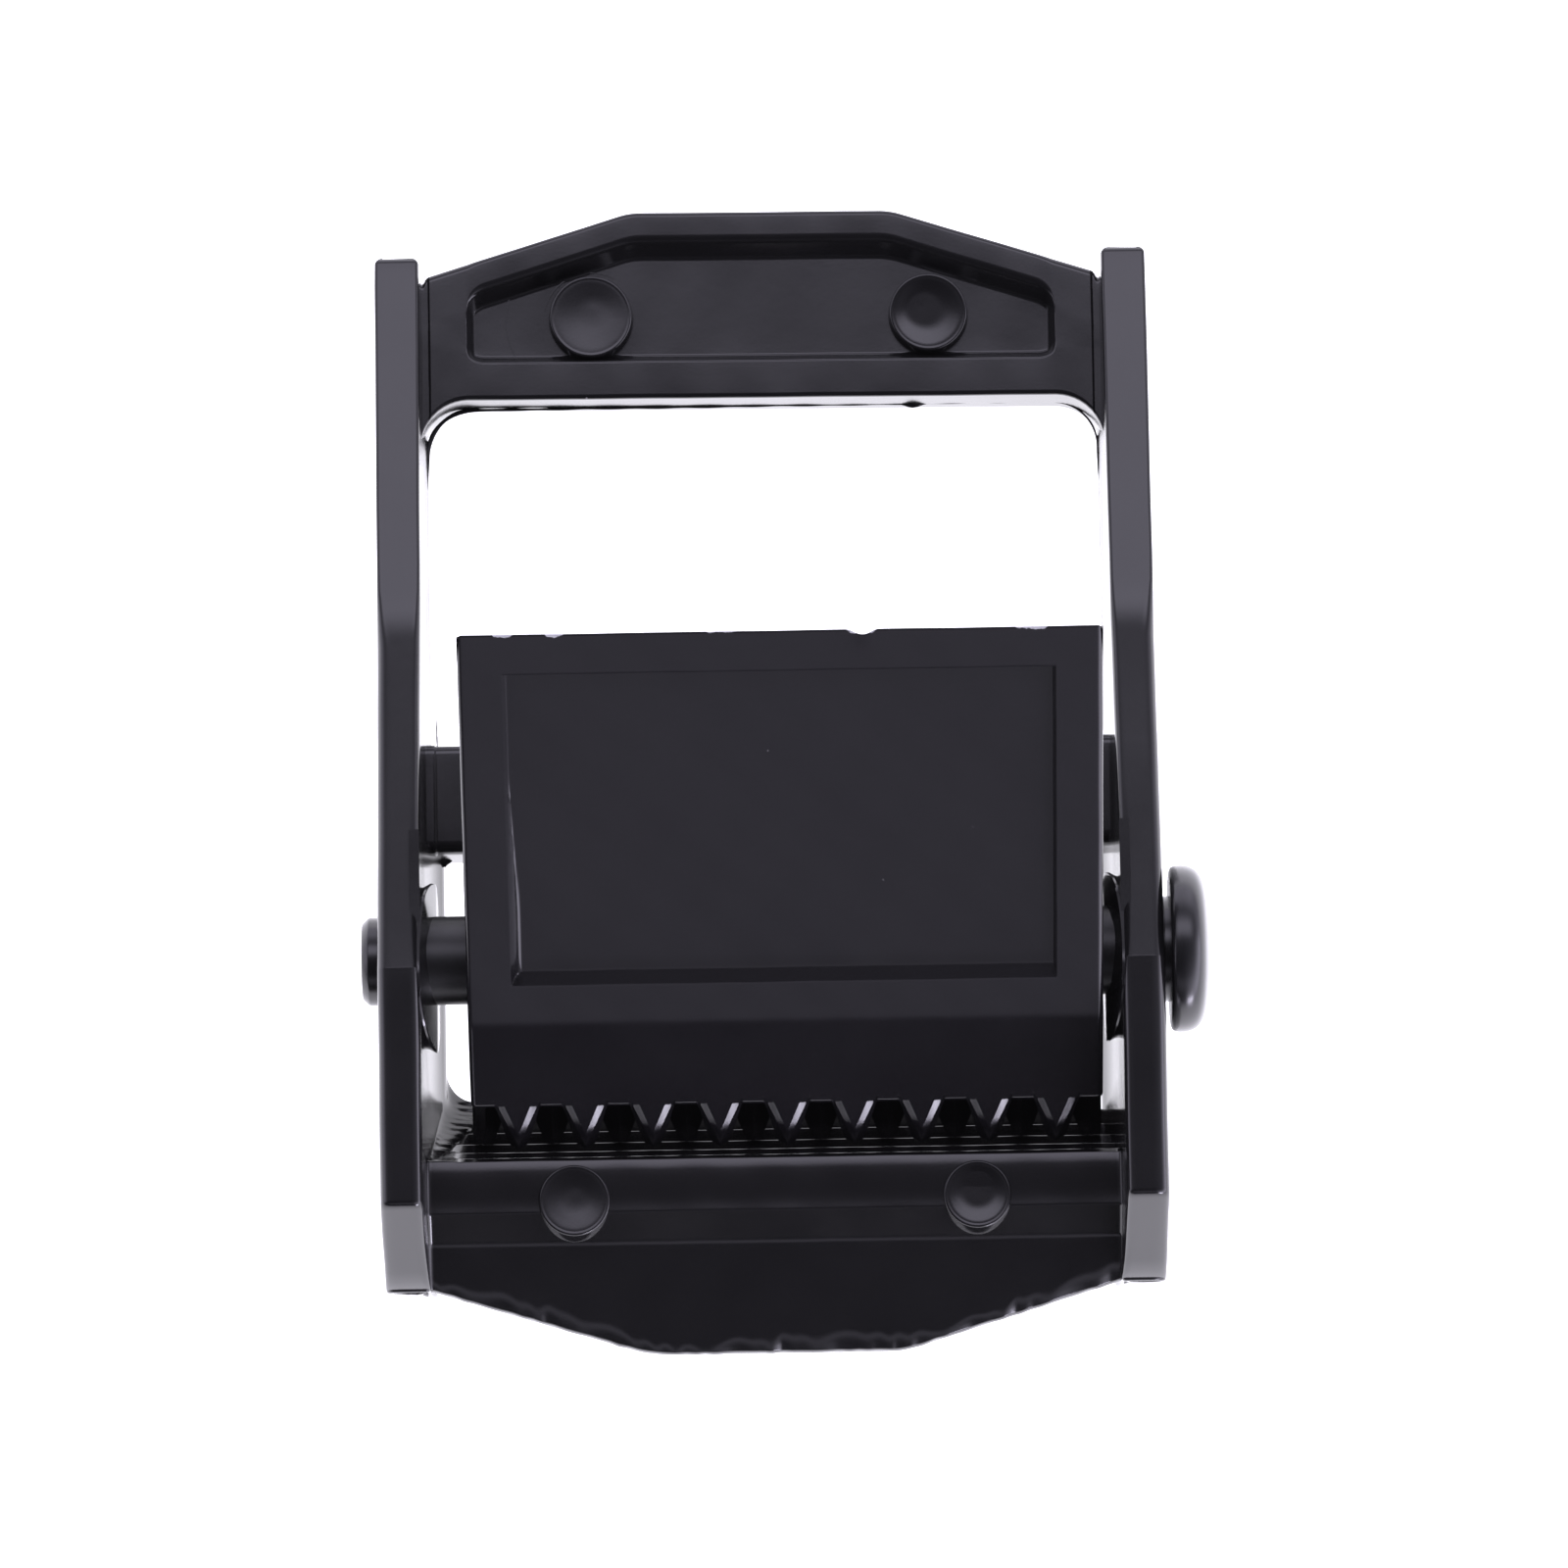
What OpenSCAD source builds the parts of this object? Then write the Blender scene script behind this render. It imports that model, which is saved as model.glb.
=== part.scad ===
// Cam buckle for 25 mm webbing: a cast frame, a toothed cam lever on a rivet pin, and its return spring.
// X runs along the pin, Y from the anvil end to the webbing bar, Z up.
// The origin is on the flat underside, at the middle of the frame. Lengths are in millimetres.

/* [Frame] */
// Width over the outer faces of the cheeks
frame_w = 31.85; // [31.6:0.05:32.3]
// Thickness of each cheek
cheek_t = 1.8; // [1.6:0.1:1.9]
// Y of the cheeks' ends beside the webbing bar
cheek_front = 22.15; // [22.0:0.05:22.4]
// Y of the cheeks' ends beside the anvil
cheek_back = -20.55; // [-20.7:0.05:-20.5]
// Height of the cheeks where they are highest
cheek_h = 9.3; // [9.3:0.1:9.8]

/* [Webbing bar] */
// Y of the bar's outer edge, in its middle
bar_front = 23.98; // [23.7:0.01:24.2]
// Y of the bar's edge on the webbing window
window_front = 16.1; // [15.6:0.1:16.4]
// Thickness of the bar
bar_t = 3.0; // [2.8:0.1:3.2]
// Corner radius of the webbing window
window_r = 2.0; // [1:0.1:2.5]
// Depth of the panel sunk into the bar
panel_depth = 0.7; // [0.4:0.1:1]

/* [Middle bar] */
// Y of the edge on the webbing window
mid_front = 1.9; // [1.5:0.1:2]
// Y of the edge on the strap window
mid_back = -2.7; // [-2.7:0.1:-2.3]

/* [Anvil] */
// Height of the anvil's top
anvil_h = 4.8; // [4.6:0.1:5]
// Distance of the anvil's ridges from the pin's axis
anvil_r = 8.15; // [8.1:0.01:8.3]
// Number of ridges across the strap
ridges = 5; // [3:1:6]
// Depth of the ridges
ridge_depth = 0.45; // [0.2:0.05:0.6]
// Y of the lower plate's outer edge, in its middle
plate_back = -23.3; // [-23.7:0.1:-23]

/* [Pin] */
// Y of the pin's axis
pin_y = -7.45; // [-7.5:0.05:-7.4]
// Height of the pin's axis
pin_z = 6.0; // [5.9:0.05:6.1]
// Diameter of the shank
pin_d = 3.6; // [3.4:0.1:3.7]
// Diameter of the domed head
head_d = 6.7; // [6:0.1:7.2]
// Thickness of the domed head
head_t = 1.5; // [1.2:0.05:1.6]
// Radial clearance round the shank
clearance = 0.05; // [0.03:0.01:0.08]

/* [Cam lever] */
// Width of the lever
lever_w = 25.7; // [25.2:0.1:25.8]
// Sideways play, taken up towards the pin's head
lever_shift = 0.55; // [0.3:0.05:0.6]
// Slope of the thumb plate when the buckle is shut, in degrees
plate_slope = 35.7; // [34:0.1:37]
// Distance of the thumb plate's top from the pin's axis
plate_rise = 3.55; // [3.4:0.05:3.8]
// Thickness of the thumb plate
plate_t = 2.7; // [2.4:0.1:2.8]
// Length of the thumb plate from the cam's crease to its tip
plate_l = 17.5; // [16:0.1:18]
// Depth of the panel sunk into the thumb plate
thumb_depth = 0.65; // [0.4:0.05:0.7]

/* [Teeth] */
// Distance between teeth across the lever
tooth_pitch = 2.74; // [2.6:0.01:2.8]
// Radius of the tooth tips round the pin
tip_r = 7.9; // [7.7:0.05:7.9]
// Radius of the cam between the teeth
root_r = 6.0; // [5.8:0.1:6.2]
// Width of a tooth at its root
tooth_root = 1.6; // [1.4:0.05:1.8]
// Width of a tooth at its tip
tooth_tip = 0.75; // [0.6:0.05:0.9]

/* [Spring] */
// Diameter of the spring wire
wire_d = 0.6; // [0.5:0.05:0.6]
// Number of turns round the pin
turns = 7; // [5:1:7]

/* [Hidden] */
$fn = 72;
arc_steps = 6;
inner_w = frame_w - 2 * cheek_t;
weld = 0.3;
cut = 1;
// Webbing bar outline
bar_flat = 5.4;
bar_side = 21.15;
panel_half = 12.0;
panel_back = 17.85;
panel_side = 20.4;
panel_front = 22.4;
panel_flat = 5.3;
panel_corner = 0.7;
// Heights along the cheek
cheek_front_h = 3.4;
bend_y = 6.84;
bend_h = 4.9;
crest_y = -8.1;
drop_y = -17.7;
drop_h = 9.0;
tail_y = -20.5;
tail_h = 3.4;
// Round pads left by the mould
front_pad_x = 6.96;
front_pad_y = 19.6;
front_pad_r = 1.66;
back_pad_x = 8.2;
back_pad_y = -17.2;
back_pad_r = 1.42;
// Anvil and lower plate
anvil_top_front = pin_y - sqrt(anvil_r ^ 2 - (pin_z - anvil_h) ^ 2);
anvil_top_back = -17.7;
anvil_foot_y = -18.82;
anvil_foot_z = 3.65;
anvil_low_z = 0.35;
plate_edge_h = 1.6;
plate_flat = 5.2;
plate_side = -20.55;
// Round lands that keep the lever off the cheeks
land_r = 3.45;
land_t = 0.55;
land_y = pin_y - 0.3;
// Pin ends
neck_d = 4.4;
neck_t = 0.4;
tail_out = 0.7;
tail_chamfer = 0.25;
// Lever
hub_r = 3.2;
plate_start = -1.17;
face_slope = 42;
row_start = -20;
row_split = 24;
row_overlap = 0.2;
row_end = 80;
blank_r = tip_r + 0.5;
teeth_end = 41;
thumb_side = 1.75;
thumb_end = 1.75;
thumb_corner = 0.5;
// Spring
coil_gap = 0.12;
coil_r = pin_d / 2 + coil_gap + wire_d / 2;
coil_l = turns * wire_d;
slot_gap = 0.1;
slot_r = coil_r + wire_d / 2 + slot_gap;
slot_w = coil_l + 4 * slot_gap;
leg_l = 7;
leg_down = -3.5;

// Unit vector along v
function unit(v) = v / norm(v);

// Point at the given radius and angle round a centre
function polar(r, a, c = [0, 0]) = c + r * [cos(a), sin(a)];

// Points of an arc of radius r, from angle a to angle b
function arc(r, a, b, c = [0, 0], steps = 16) =
    [for (i = [0 : steps]) polar(r, a + (b - a) * i / steps, c)];

// Arc that rounds the corner b between the points a and c
function round_corner(a, b, c, r) =
    let (
        u = unit(a - b),
        v = unit(c - b),
        half = acos(u * v) / 2,
        centre = b + unit(u + v) * r / sin(half),
        start = b + u * r / tan(half) - centre,
        end = b + v * r / tan(half) - centre,
        from = atan2(start.y, start.x),
        turn = (atan2(end.y, end.x) - from + 540) % 360 - 180
    )
    arc(r, from, from + turn, centre, arc_steps);

// Outline from [x, y, corner radius] rows
function outline(rows) = [
    for (i = [0 : len(rows) - 1])
        let (
            n = len(rows),
            a = rows[(i + n - 1) % n],
            b = rows[i],
            c = rows[(i + 1) % n]
        )
        each b.z > 0 ? round_corner([a.x, a.y], [b.x, b.y], [c.x, c.y], b.z) : [[b.x, b.y]]
];

// The same rows seen in a mirror across X = 0, in the opposite order
function mirrored(rows) = [for (i = [len(rows) - 1 : -1 : 0]) [-rows[i].x, rows[i].y, rows[i].z]];

// Turns a drawing in (Y, Z) into a slab of width w along X
module slab(w) {
    rotate([90, 0, 90]) linear_extrude(w, center = true) children();
}

// Turns a (radius, X) drawing round the pin's axis
module round_the_pin() {
    translate([0, pin_y, pin_z]) rotate([0, 90, 0]) rotate_extrude() children();
}

// Round bar along the pin's axis, from x0 to x1
module pin_bar(r, x0, x1) {
    translate([x0, pin_y, pin_z]) rotate([0, 90, 0]) cylinder(r = r, h = x1 - x0);
}

// Side of the frame: low beside the webbing bar, high round the pin
module cheek(side) {
    rows = [
        [cheek_back, 0, 0],
        [cheek_front, 0, 0],
        [cheek_front, cheek_front_h, 0.4],
        [bend_y, bend_h, 3],
        [crest_y, cheek_h, 2],
        [drop_y, drop_h, 0.4],
        [tail_y, tail_h, 0.4]
    ];
    translate([side * (frame_w - cheek_t) / 2, 0, 0]) slab(cheek_t) polygon(outline(rows));
}

// Cross bar that carries the sewn webbing, with a sunk panel
module webbing_bar() {
    half = inner_w / 2;
    side = [
        [half + weld, bar_side, 0],
        [half + weld, window_front - window_r, 0],
        [half, window_front - window_r, 0],
        [half, window_front, window_r]
    ];
    edge = [[bar_flat, bar_front, 1]];
    panel_edge = [
        [panel_flat, panel_front, panel_corner],
        [panel_half, panel_side, panel_corner],
        [panel_half, panel_back, panel_corner]
    ];
    difference() {
        linear_extrude(bar_t) polygon(outline(concat(edge, side, mirrored(side), mirrored(edge))));
        translate([0, 0, bar_t - panel_depth])
            linear_extrude(panel_depth + cut)
                polygon(outline(concat(panel_edge, mirrored(panel_edge))));
    }
    for (side = [-1, 1])
        translate([side * front_pad_x, front_pad_y, 0]) cylinder(r = front_pad_r, h = bar_t);
}

// Cross bar between the two windows, under the thumb plate
module middle_bar() {
    rows = [
        [mid_back, 0, 0.4],
        [mid_front, 0, 0.4],
        [mid_front, bar_t, 0.8],
        [mid_back, bar_t, 0.8]
    ];
    slab(inner_w + 2 * weld) polygon(outline(rows));
}

// Saw ridges on the anvil's hollow face, from its foot to its top
function ridge_points() =
    let (
        low = asin((pin_z - anvil_low_z) / anvil_r),
        high = asin((pin_z - anvil_h) / anvil_r),
        step = (low - high) / ridges
    )
    [
        for (i = [0 : ridges - 1])
            each [
                polar(anvil_r, 180 + low - i * step, [pin_y, pin_z]),
                polar(anvil_r + ridge_depth, 180 + low - (i + 0.85) * step, [pin_y, pin_z])
            ]
    ];

// Cross bar whose ridged face grips the strap against the cam's teeth
module anvil() {
    rows = concat(
        [[anvil_top_back, 0], [pin_y - anvil_r * cos(asin((pin_z - anvil_low_z) / anvil_r)), 0]],
        ridge_points(),
        [
            [anvil_top_front, anvil_h],
            [anvil_top_back, anvil_h],
            [anvil_foot_y, anvil_foot_z],
            [anvil_foot_y, 0]
        ]
    );
    slab(inner_w + 2 * weld) polygon(rows);
}

// Thin apron behind the anvil, which slopes down to its outer edge
module lower_plate() {
    half = inner_w / 2 + weld;
    corner = [[plate_flat, plate_back, 1], [half, plate_side, 0], [half, anvil_top_back, 0]];
    intersection() {
        linear_extrude(anvil_foot_z) polygon(outline(concat(corner, mirrored(corner))));
        slab(frame_w)
            polygon([
                [plate_back - cut, 0],
                [plate_back - cut, plate_edge_h],
                [plate_back, plate_edge_h],
                [anvil_foot_y, anvil_foot_z],
                [anvil_top_back + cut, anvil_foot_z],
                [anvil_top_back + cut, 0]
            ]);
    }
    for (side = [-1, 1])
        translate([side * back_pad_x, back_pad_y, 0]) cylinder(r = back_pad_r, h = anvil_h);
}

// Low round land on a cheek's inner face
module land(side) {
    start = inner_w / 2 - land_t;
    x = side > 0 ? start : -start - land_t - weld;
    translate([x, land_y, pin_z]) rotate([0, 90, 0]) cylinder(r = land_r, h = land_t + weld);
}

// The whole casting: cheeks, bars, anvil and apron
module frame() {
    color([0.09, 0.09, 0.1]) difference() {
        union() {
            for (side = [-1, 1]) {
                cheek(side);
                land(side);
            }
            webbing_bar();
            middle_bar();
            anvil();
            lower_plate();
        }
        pin_bar(pin_d / 2 + clearance, -frame_w, frame_w);
    }
}

// Rivet with a domed head on one side and a short chamfered tail on the other
module pivot_pin() {
    out = frame_w / 2;
    under = out + neck_t;
    r = pin_d / 2;
    dome = head_d / 2;
    color([0.13, 0.13, 0.14]) round_the_pin() {
        polygon([
            [0, -out - tail_out],
            [r - tail_chamfer, -out - tail_out],
            [r, -out - tail_out + tail_chamfer],
            [r, out + clearance],
            [neck_d / 2, out + clearance],
            [neck_d / 2, under],
            [dome - 0.25, under],
            [dome, under + 0.25],
            [dome, under + 0.42 * head_t],
            [dome - 0.22, under + 0.72 * head_t],
            [dome * 0.86, under + 0.81 * head_t],
            [dome * 0.72, under + 0.88 * head_t],
            [dome * 0.45, under + 0.96 * head_t],
            [0, under + head_t]
        ]);
    }
}

// Close-wound coil round the pin, with one leg under the thumb plate and one on the middle bar
module torsion_spring() {
    color([0.45, 0.45, 0.47]) {
        for (i = [0 : turns - 1])
            translate([lever_shift - coil_l / 2 + (i + 0.5) * wire_d, 0, 0])
                round_the_pin() translate([coil_r, 0]) circle(d = wire_d * 1.02, $fn = 24);
        spring_leg(lever_shift + coil_l / 2 - wire_d / 2, plate_slope, coil_r);
        spring_leg(lever_shift - coil_l / 2 + wire_d / 2, leg_down, -coil_r);
    }
}

// Straight end of the wire, which leaves the coil along its tangent
module spring_leg(x, slope, rise) {
    translate([x, pin_y, pin_z])
        rotate([slope, 0, 0])
            translate([0, 0, rise])
                rotate([-90, 0, 0])
                    cylinder(d = wire_d, h = leg_l, $fn = 24);
}

// Point of the lever in (Y, Z): along the thumb plate and above the pin's axis
function on_plate(along, above) =
    [pin_y, pin_z] + along * [cos(plate_slope), sin(plate_slope)]
    + above * [-sin(plate_slope), cos(plate_slope)];

// Distance from the crease, down the cam's front face, at which it is r from the pin
function face_reach(r) =
    let (
        crease = on_plate(plate_start, plate_rise) - [pin_y, pin_z],
        down = [-cos(face_slope), -sin(face_slope)],
        b = crease * down
    )
    -b + sqrt(b ^ 2 - crease * crease + r ^ 2);

// Point where the cam's front face is r from the pin's axis
function on_face(r) =
    on_plate(plate_start, plate_rise) - face_reach(r) * [cos(face_slope), sin(face_slope)];

// Angle below the horizontal, round the pin, of a point in (Y, Z)
function below(p) = atan2(pin_z - p.y, pin_y - p.x);

// Side outline of the lever before its teeth are cut
module lever_side() {
    crease = on_plate(plate_start, plate_rise);
    tip = on_plate(plate_start + plate_l, plate_rise);
    under_tip = on_plate(plate_start + plate_l - plate_t * tan(plate_slope), plate_rise - plate_t);
    under_hub = on_plate(sqrt(hub_r ^ 2 - (plate_rise - plate_t) ^ 2), plate_rise - plate_t);
    body = concat(
        [crease],
        arc(blank_r, 180 + below(on_face(blank_r)), 180 + teeth_end, [pin_y, pin_z]),
        [polar(root_r, 180 + teeth_end, [pin_y, pin_z])],
        arc(hub_r, 262, 360 + 40, [pin_y, pin_z]),
        [under_hub]
    );
    thumb = [
        [crease.x, crease.y, 0.15],
        [pin_y, pin_z, 0],
        [under_hub.x, under_hub.y, 0],
        [under_tip.x, under_tip.y, 0.6],
        [tip.x, tip.y, 0.3]
    ];
    polygon(body);
    polygon(outline(thumb));
}

// Cutter that leaves one row of teeth, from angle a to angle b below the horizontal
module tooth_cutter(count, a, b) {
    half = lever_w / 2 + cut;
    outer = tip_r + 2 * cut;
    teeth = [
        for (i = [0 : count - 1])
            let (x = (i - (count - 1) / 2) * tooth_pitch)
            each [
                [root_r, x - tooth_root / 2],
                [tip_r, x - tooth_tip / 2],
                [tip_r, x + tooth_tip / 2],
                [root_r, x + tooth_root / 2]
            ]
    ];
    comb = concat([[outer, -half], [root_r, -half]], teeth, [[root_r, half], [outer, half]]);
    reach = [for (t = [a, (a + b) / 2, b]) polar(3 * outer, 180 + t, [pin_y, pin_z])];
    intersection() {
        round_the_pin() polygon(comb);
        slab(2 * half + cut) polygon(concat([[pin_y, pin_z]], reach));
    }
}

// Shallow panel sunk into the top of the thumb plate
module thumb_panel() {
    x = lever_w / 2 - thumb_side;
    start = plate_start + thumb_end;
    end = plate_start + plate_l - thumb_end;
    rows = [
        [x, start, thumb_corner],
        [x, end, thumb_corner],
        [-x, end, thumb_corner],
        [-x, start, thumb_corner]
    ];
    translate([0, pin_y, pin_z])
        rotate([plate_slope, 0, 0])
            translate([0, 0, plate_rise - thumb_depth])
                linear_extrude(cut) polygon(outline(rows));
}

// Toothed cam and thumb plate in one casting, slotted for the spring
module cam_lever() {
    color([0.1, 0.1, 0.11]) difference() {
        translate([lever_shift, 0, 0]) difference() {
            slab(lever_w) lever_side();
            tooth_cutter(9, row_start, row_split);
            tooth_cutter(10, row_split - row_overlap, row_end);
            thumb_panel();
        }
        pin_bar(pin_d / 2 + clearance, -frame_w, frame_w);
        spring_slot();
    }
}

// Room for the coil and its legs on the lever's underside
module spring_slot() {
    x0 = lever_shift - slot_w / 2;
    pin_bar(slot_r, x0, x0 + slot_w);
    under = plate_rise - plate_t;
    translate([lever_shift, 0, 0]) slab(slot_w)
        polygon([
            on_plate(0, slot_r),
            on_plate(leg_l + 1, slot_r),
            on_plate(leg_l + 1, under - 1),
            [pin_y + hub_r + 1, pin_z],
            [pin_y + hub_r + 1, pin_z - hub_r - 1],
            [pin_y, pin_z - hub_r - 1]
        ]);
}

frame();
pivot_pin();
torsion_spring();
cam_lever();
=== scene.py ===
# Cast cam buckle for 25 mm webbing: black coated zinc frame and lever, steel rivet, return spring.
# The pieces' dictionaries hold millimetres and degrees, and pieceFrom turns them into metres. The finishes
# and the stage are in metres.
import math

import bmesh
import bpy
import numpy as np
from mathutils import Matrix, Vector


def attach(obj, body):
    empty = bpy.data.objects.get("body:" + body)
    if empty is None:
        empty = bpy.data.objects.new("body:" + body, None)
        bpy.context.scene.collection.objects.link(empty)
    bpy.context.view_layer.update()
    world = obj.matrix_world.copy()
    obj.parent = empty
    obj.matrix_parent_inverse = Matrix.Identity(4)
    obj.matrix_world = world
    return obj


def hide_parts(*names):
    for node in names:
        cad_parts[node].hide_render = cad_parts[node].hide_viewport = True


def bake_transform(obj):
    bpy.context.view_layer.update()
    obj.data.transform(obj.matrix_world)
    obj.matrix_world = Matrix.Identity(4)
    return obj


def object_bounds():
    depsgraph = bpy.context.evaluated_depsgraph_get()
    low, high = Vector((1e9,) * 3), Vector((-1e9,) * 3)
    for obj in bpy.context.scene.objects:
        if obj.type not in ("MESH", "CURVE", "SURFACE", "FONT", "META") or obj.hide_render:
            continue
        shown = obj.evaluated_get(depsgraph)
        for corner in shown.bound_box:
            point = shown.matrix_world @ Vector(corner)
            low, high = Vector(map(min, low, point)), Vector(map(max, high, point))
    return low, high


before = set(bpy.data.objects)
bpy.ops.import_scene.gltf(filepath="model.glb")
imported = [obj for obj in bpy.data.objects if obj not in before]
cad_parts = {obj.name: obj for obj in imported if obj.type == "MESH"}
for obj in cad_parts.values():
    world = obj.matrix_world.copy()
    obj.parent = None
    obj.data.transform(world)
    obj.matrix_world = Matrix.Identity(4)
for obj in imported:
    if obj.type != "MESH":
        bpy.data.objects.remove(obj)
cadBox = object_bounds()
print("frame loaded:", ", ".join(sorted(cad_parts)))

mm = 0.001
meshing = {"sharp": 38, "weld": 1e-7, "sliver": 1e-8, "waves": 0.004}  # degrees, metres, metres, millimetres


# Small helpers: numbers, outlines, surfaces and meshes

def softRelu(t, soft):
    # 0 up to -soft, t from soft on, and between them the parabola (t + soft)^2 / (4 soft)
    return np.where(np.abs(t) < soft, (t + soft) ** 2 / (4 * soft), np.maximum(t, 0))


def ramp(t, soft=0.12, softEnd=None):
    # Straight climb from 0 at t = 0 to 1 at t = 1, its two corners rounded as parabolas
    return softRelu(t, soft) - softRelu(t - 1, soft if softEnd is None else softEnd)


def bell(t):
    # 1 at t = 0, falling smoothly to 0 at t = 1 on both sides: (1 - t^2)^2
    return np.maximum(1 - np.square(t), 0) ** 2


def brokenLine(t, knots):
    # Height at t of a line through the knots (t, height, rounding of the bend there)
    slopes = [(b[1] - a[1]) / (b[0] - a[0]) for a, b in zip(knots, knots[1:])]
    height = knots[0][1] + slopes[0] * (t - knots[0][0])
    for (at, _, soft), before, after in zip(knots[1:], slopes, slopes[1:]):
        height = height + (after - before) * softRelu(t - at, soft)
    return height


def spaced(*stretches):
    # Values along a line: each stretch is (start, end, steps), and shared ends are kept once
    parts = [np.linspace(a, b, n + 1) for a, b, n in stretches]
    return np.unique(np.round(np.concatenate(parts), 5))


def mirroredValues(x):
    # The values, from 0 up, with their negatives in front
    return np.concatenate([-x[:0:-1], x])


def pair(a, b):
    # Points (..., 2) from two numbers or arrays
    return np.stack(np.broadcast_arrays(a, b), -1)


def polar(r, angle, centre=(0.0, 0.0)):
    # Point at distance r and angle (degrees) round a centre in (Y, Z)
    a = np.radians(angle)
    return pair(centre[0] + r * np.cos(a), centre[1] + r * np.sin(a))


def roundedLoops(corners, n):
    # Closed outlines, one for each of n sections. A corner is (point or n points, reach, steps).
    # It is replaced by a quadratic arc: (1-s)^2 a + 2 s (1-s) b + s^2 c, from a, reach before the
    # corner b, to c, reach past it. The reach is held under 0.48 of either side.
    pts = [np.broadcast_to(np.asarray(p, float), (n, 2)) for p, _, _ in corners]
    out = []
    for i, (p, reach, steps) in enumerate(corners):
        b = pts[i]
        reach = np.broadcast_to(np.asarray(reach, float), (n,))
        if steps == 0:
            out.append(b[:, None, :])
            continue
        before, after = pts[i - 1] - b, pts[(i + 1) % len(pts)] - b
        lb, la = np.linalg.norm(before, axis=1), np.linalg.norm(after, axis=1)
        t = np.minimum(reach, 0.48 * np.minimum(lb, la))
        a = b + before * (t / np.maximum(lb, 1e-9))[:, None]
        c = b + after * (t / np.maximum(la, 1e-9))[:, None]
        s = np.linspace(0, 1, steps + 1)[None, :, None]
        out.append((1 - s) ** 2 * a[:, None] + 2 * s * (1 - s) * b[:, None] + s ** 2 * c[:, None])
    return np.concatenate(out, 1)


def loopNormals(loops):
    # Outward unit normals of closed outlines drawn anticlockwise: the chord of both neighbours, turned
    step = np.roll(loops, -1, 1) - np.roll(loops, 1, 1)
    normal = pair(step[..., 1], -step[..., 0])
    y, z = loops[..., 0], loops[..., 1]
    area = np.sum(y * np.roll(z, -1, 1) - z * np.roll(y, -1, 1), 1)
    normal *= np.sign(area)[:, None, None]
    return normal / np.maximum(np.linalg.norm(normal, axis=-1, keepdims=True), 1e-9)


def roundedEnds(loops, start, end, startR, endR, steps):
    # The loops and places that round off a shell's two ends: at angle a round the edge, the end loop lies
    # r (1 - cos a) in from the end and is shrunk by r (1 - sin a)
    normal = loopNormals(loops[[0, -1]])
    a = np.linspace(0, np.pi / 2, steps + 1)[:-1]
    shrunk, gone = (1 - np.sin(a))[:, None, None], 1 - np.cos(a)
    first = loops[:1] - normal[:1] * shrunk * startR
    last = (loops[-1:] - normal[-1:] * shrunk * endR)[::-1]
    return first, last, start + startR * gone, (end - endR * gone)[::-1]


def tube(rows):
    # Surface through closed rows of points (rows, cols, 3), with a flat face over each end
    n, m = rows.shape[:2]
    r, c = np.arange(n - 1)[:, None] * m, np.arange(m)
    nextC = (c + 1) % m
    faces = np.stack([r + c, r + m + c, r + m + nextC, r + nextC], -1).reshape(-1, 4).tolist()
    faces += [list(range(m)), list(range(n * m - 1, (n - 1) * m - 1, -1))]
    return rows.reshape(-1, 3), faces


def carried(loops, xs):
    # Outlines in (Y, Z), each set at its own X: (n, m, 2) and (n,) to (n, m, 3)
    return np.concatenate([np.broadcast_to(xs[:, None, None], loops.shape[:2] + (1,)), loops], -1)


def swept(path, side, up, sides):
    # Tube along a path: each section is an ellipse with the vectors side and up as its half axes
    a = np.linspace(0, 2 * np.pi, sides, endpoint=False)[None, :, None]
    return tube(path[:, None] + np.cos(a) * side[:, None] + np.sin(a) * up[:, None])


def turned(profile, steps, centre, upright=False):
    # Solid of revolution: round an axis along X through centre (y, z), profile rows (x, radius), or round
    # an upright axis through centre (x, y), rows (radius, z)
    a = np.linspace(0, 2 * np.pi, steps, endpoint=False)
    along, r = np.split(profile[:, ::-1] if upright else profile, 2, axis=1)
    ring, level = polar(r, np.degrees(a), centre), (along + 0 * a)[..., None]
    return tube(np.concatenate([ring, level] if upright else [level, ring], -1))


def castWaves(points, amount):
    # Slow unevenness of a casting: sums of sines of position, added along each axis
    x, y, z = points.T
    move = np.stack([
        np.sin(0.9 * y + 1.3 * z + 0.4) + 0.6 * np.sin(2.1 * z - 1.1 * y + 2.0),
        np.sin(0.8 * x - 0.9 * z + 1.7) + 0.6 * np.sin(1.7 * x + 1.3 * z),
        np.sin(0.7 * x + 0.9 * y + 0.2) + 0.6 * np.sin(1.9 * x - 1.3 * y + 1.1)
        + 0.35 * np.sin(3.1 * y + 2.3 * x),
    ], -1)
    return points + amount * move


def outward(points, faces):
    # The faces of a closed shell, all turned over if the volume inside them comes out negative
    volume = 0.0
    for size in sorted({len(f) for f in faces}):
        group = np.array([f for f in faces if len(f) == size])
        for i in range(1, size - 1):
            a, b, c = points[group[:, 0]], points[group[:, i]], points[group[:, i + 1]]
            volume += np.sum(a * np.cross(b, c))
    return [f[::-1] for f in faces] if volume < 0 else faces


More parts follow.
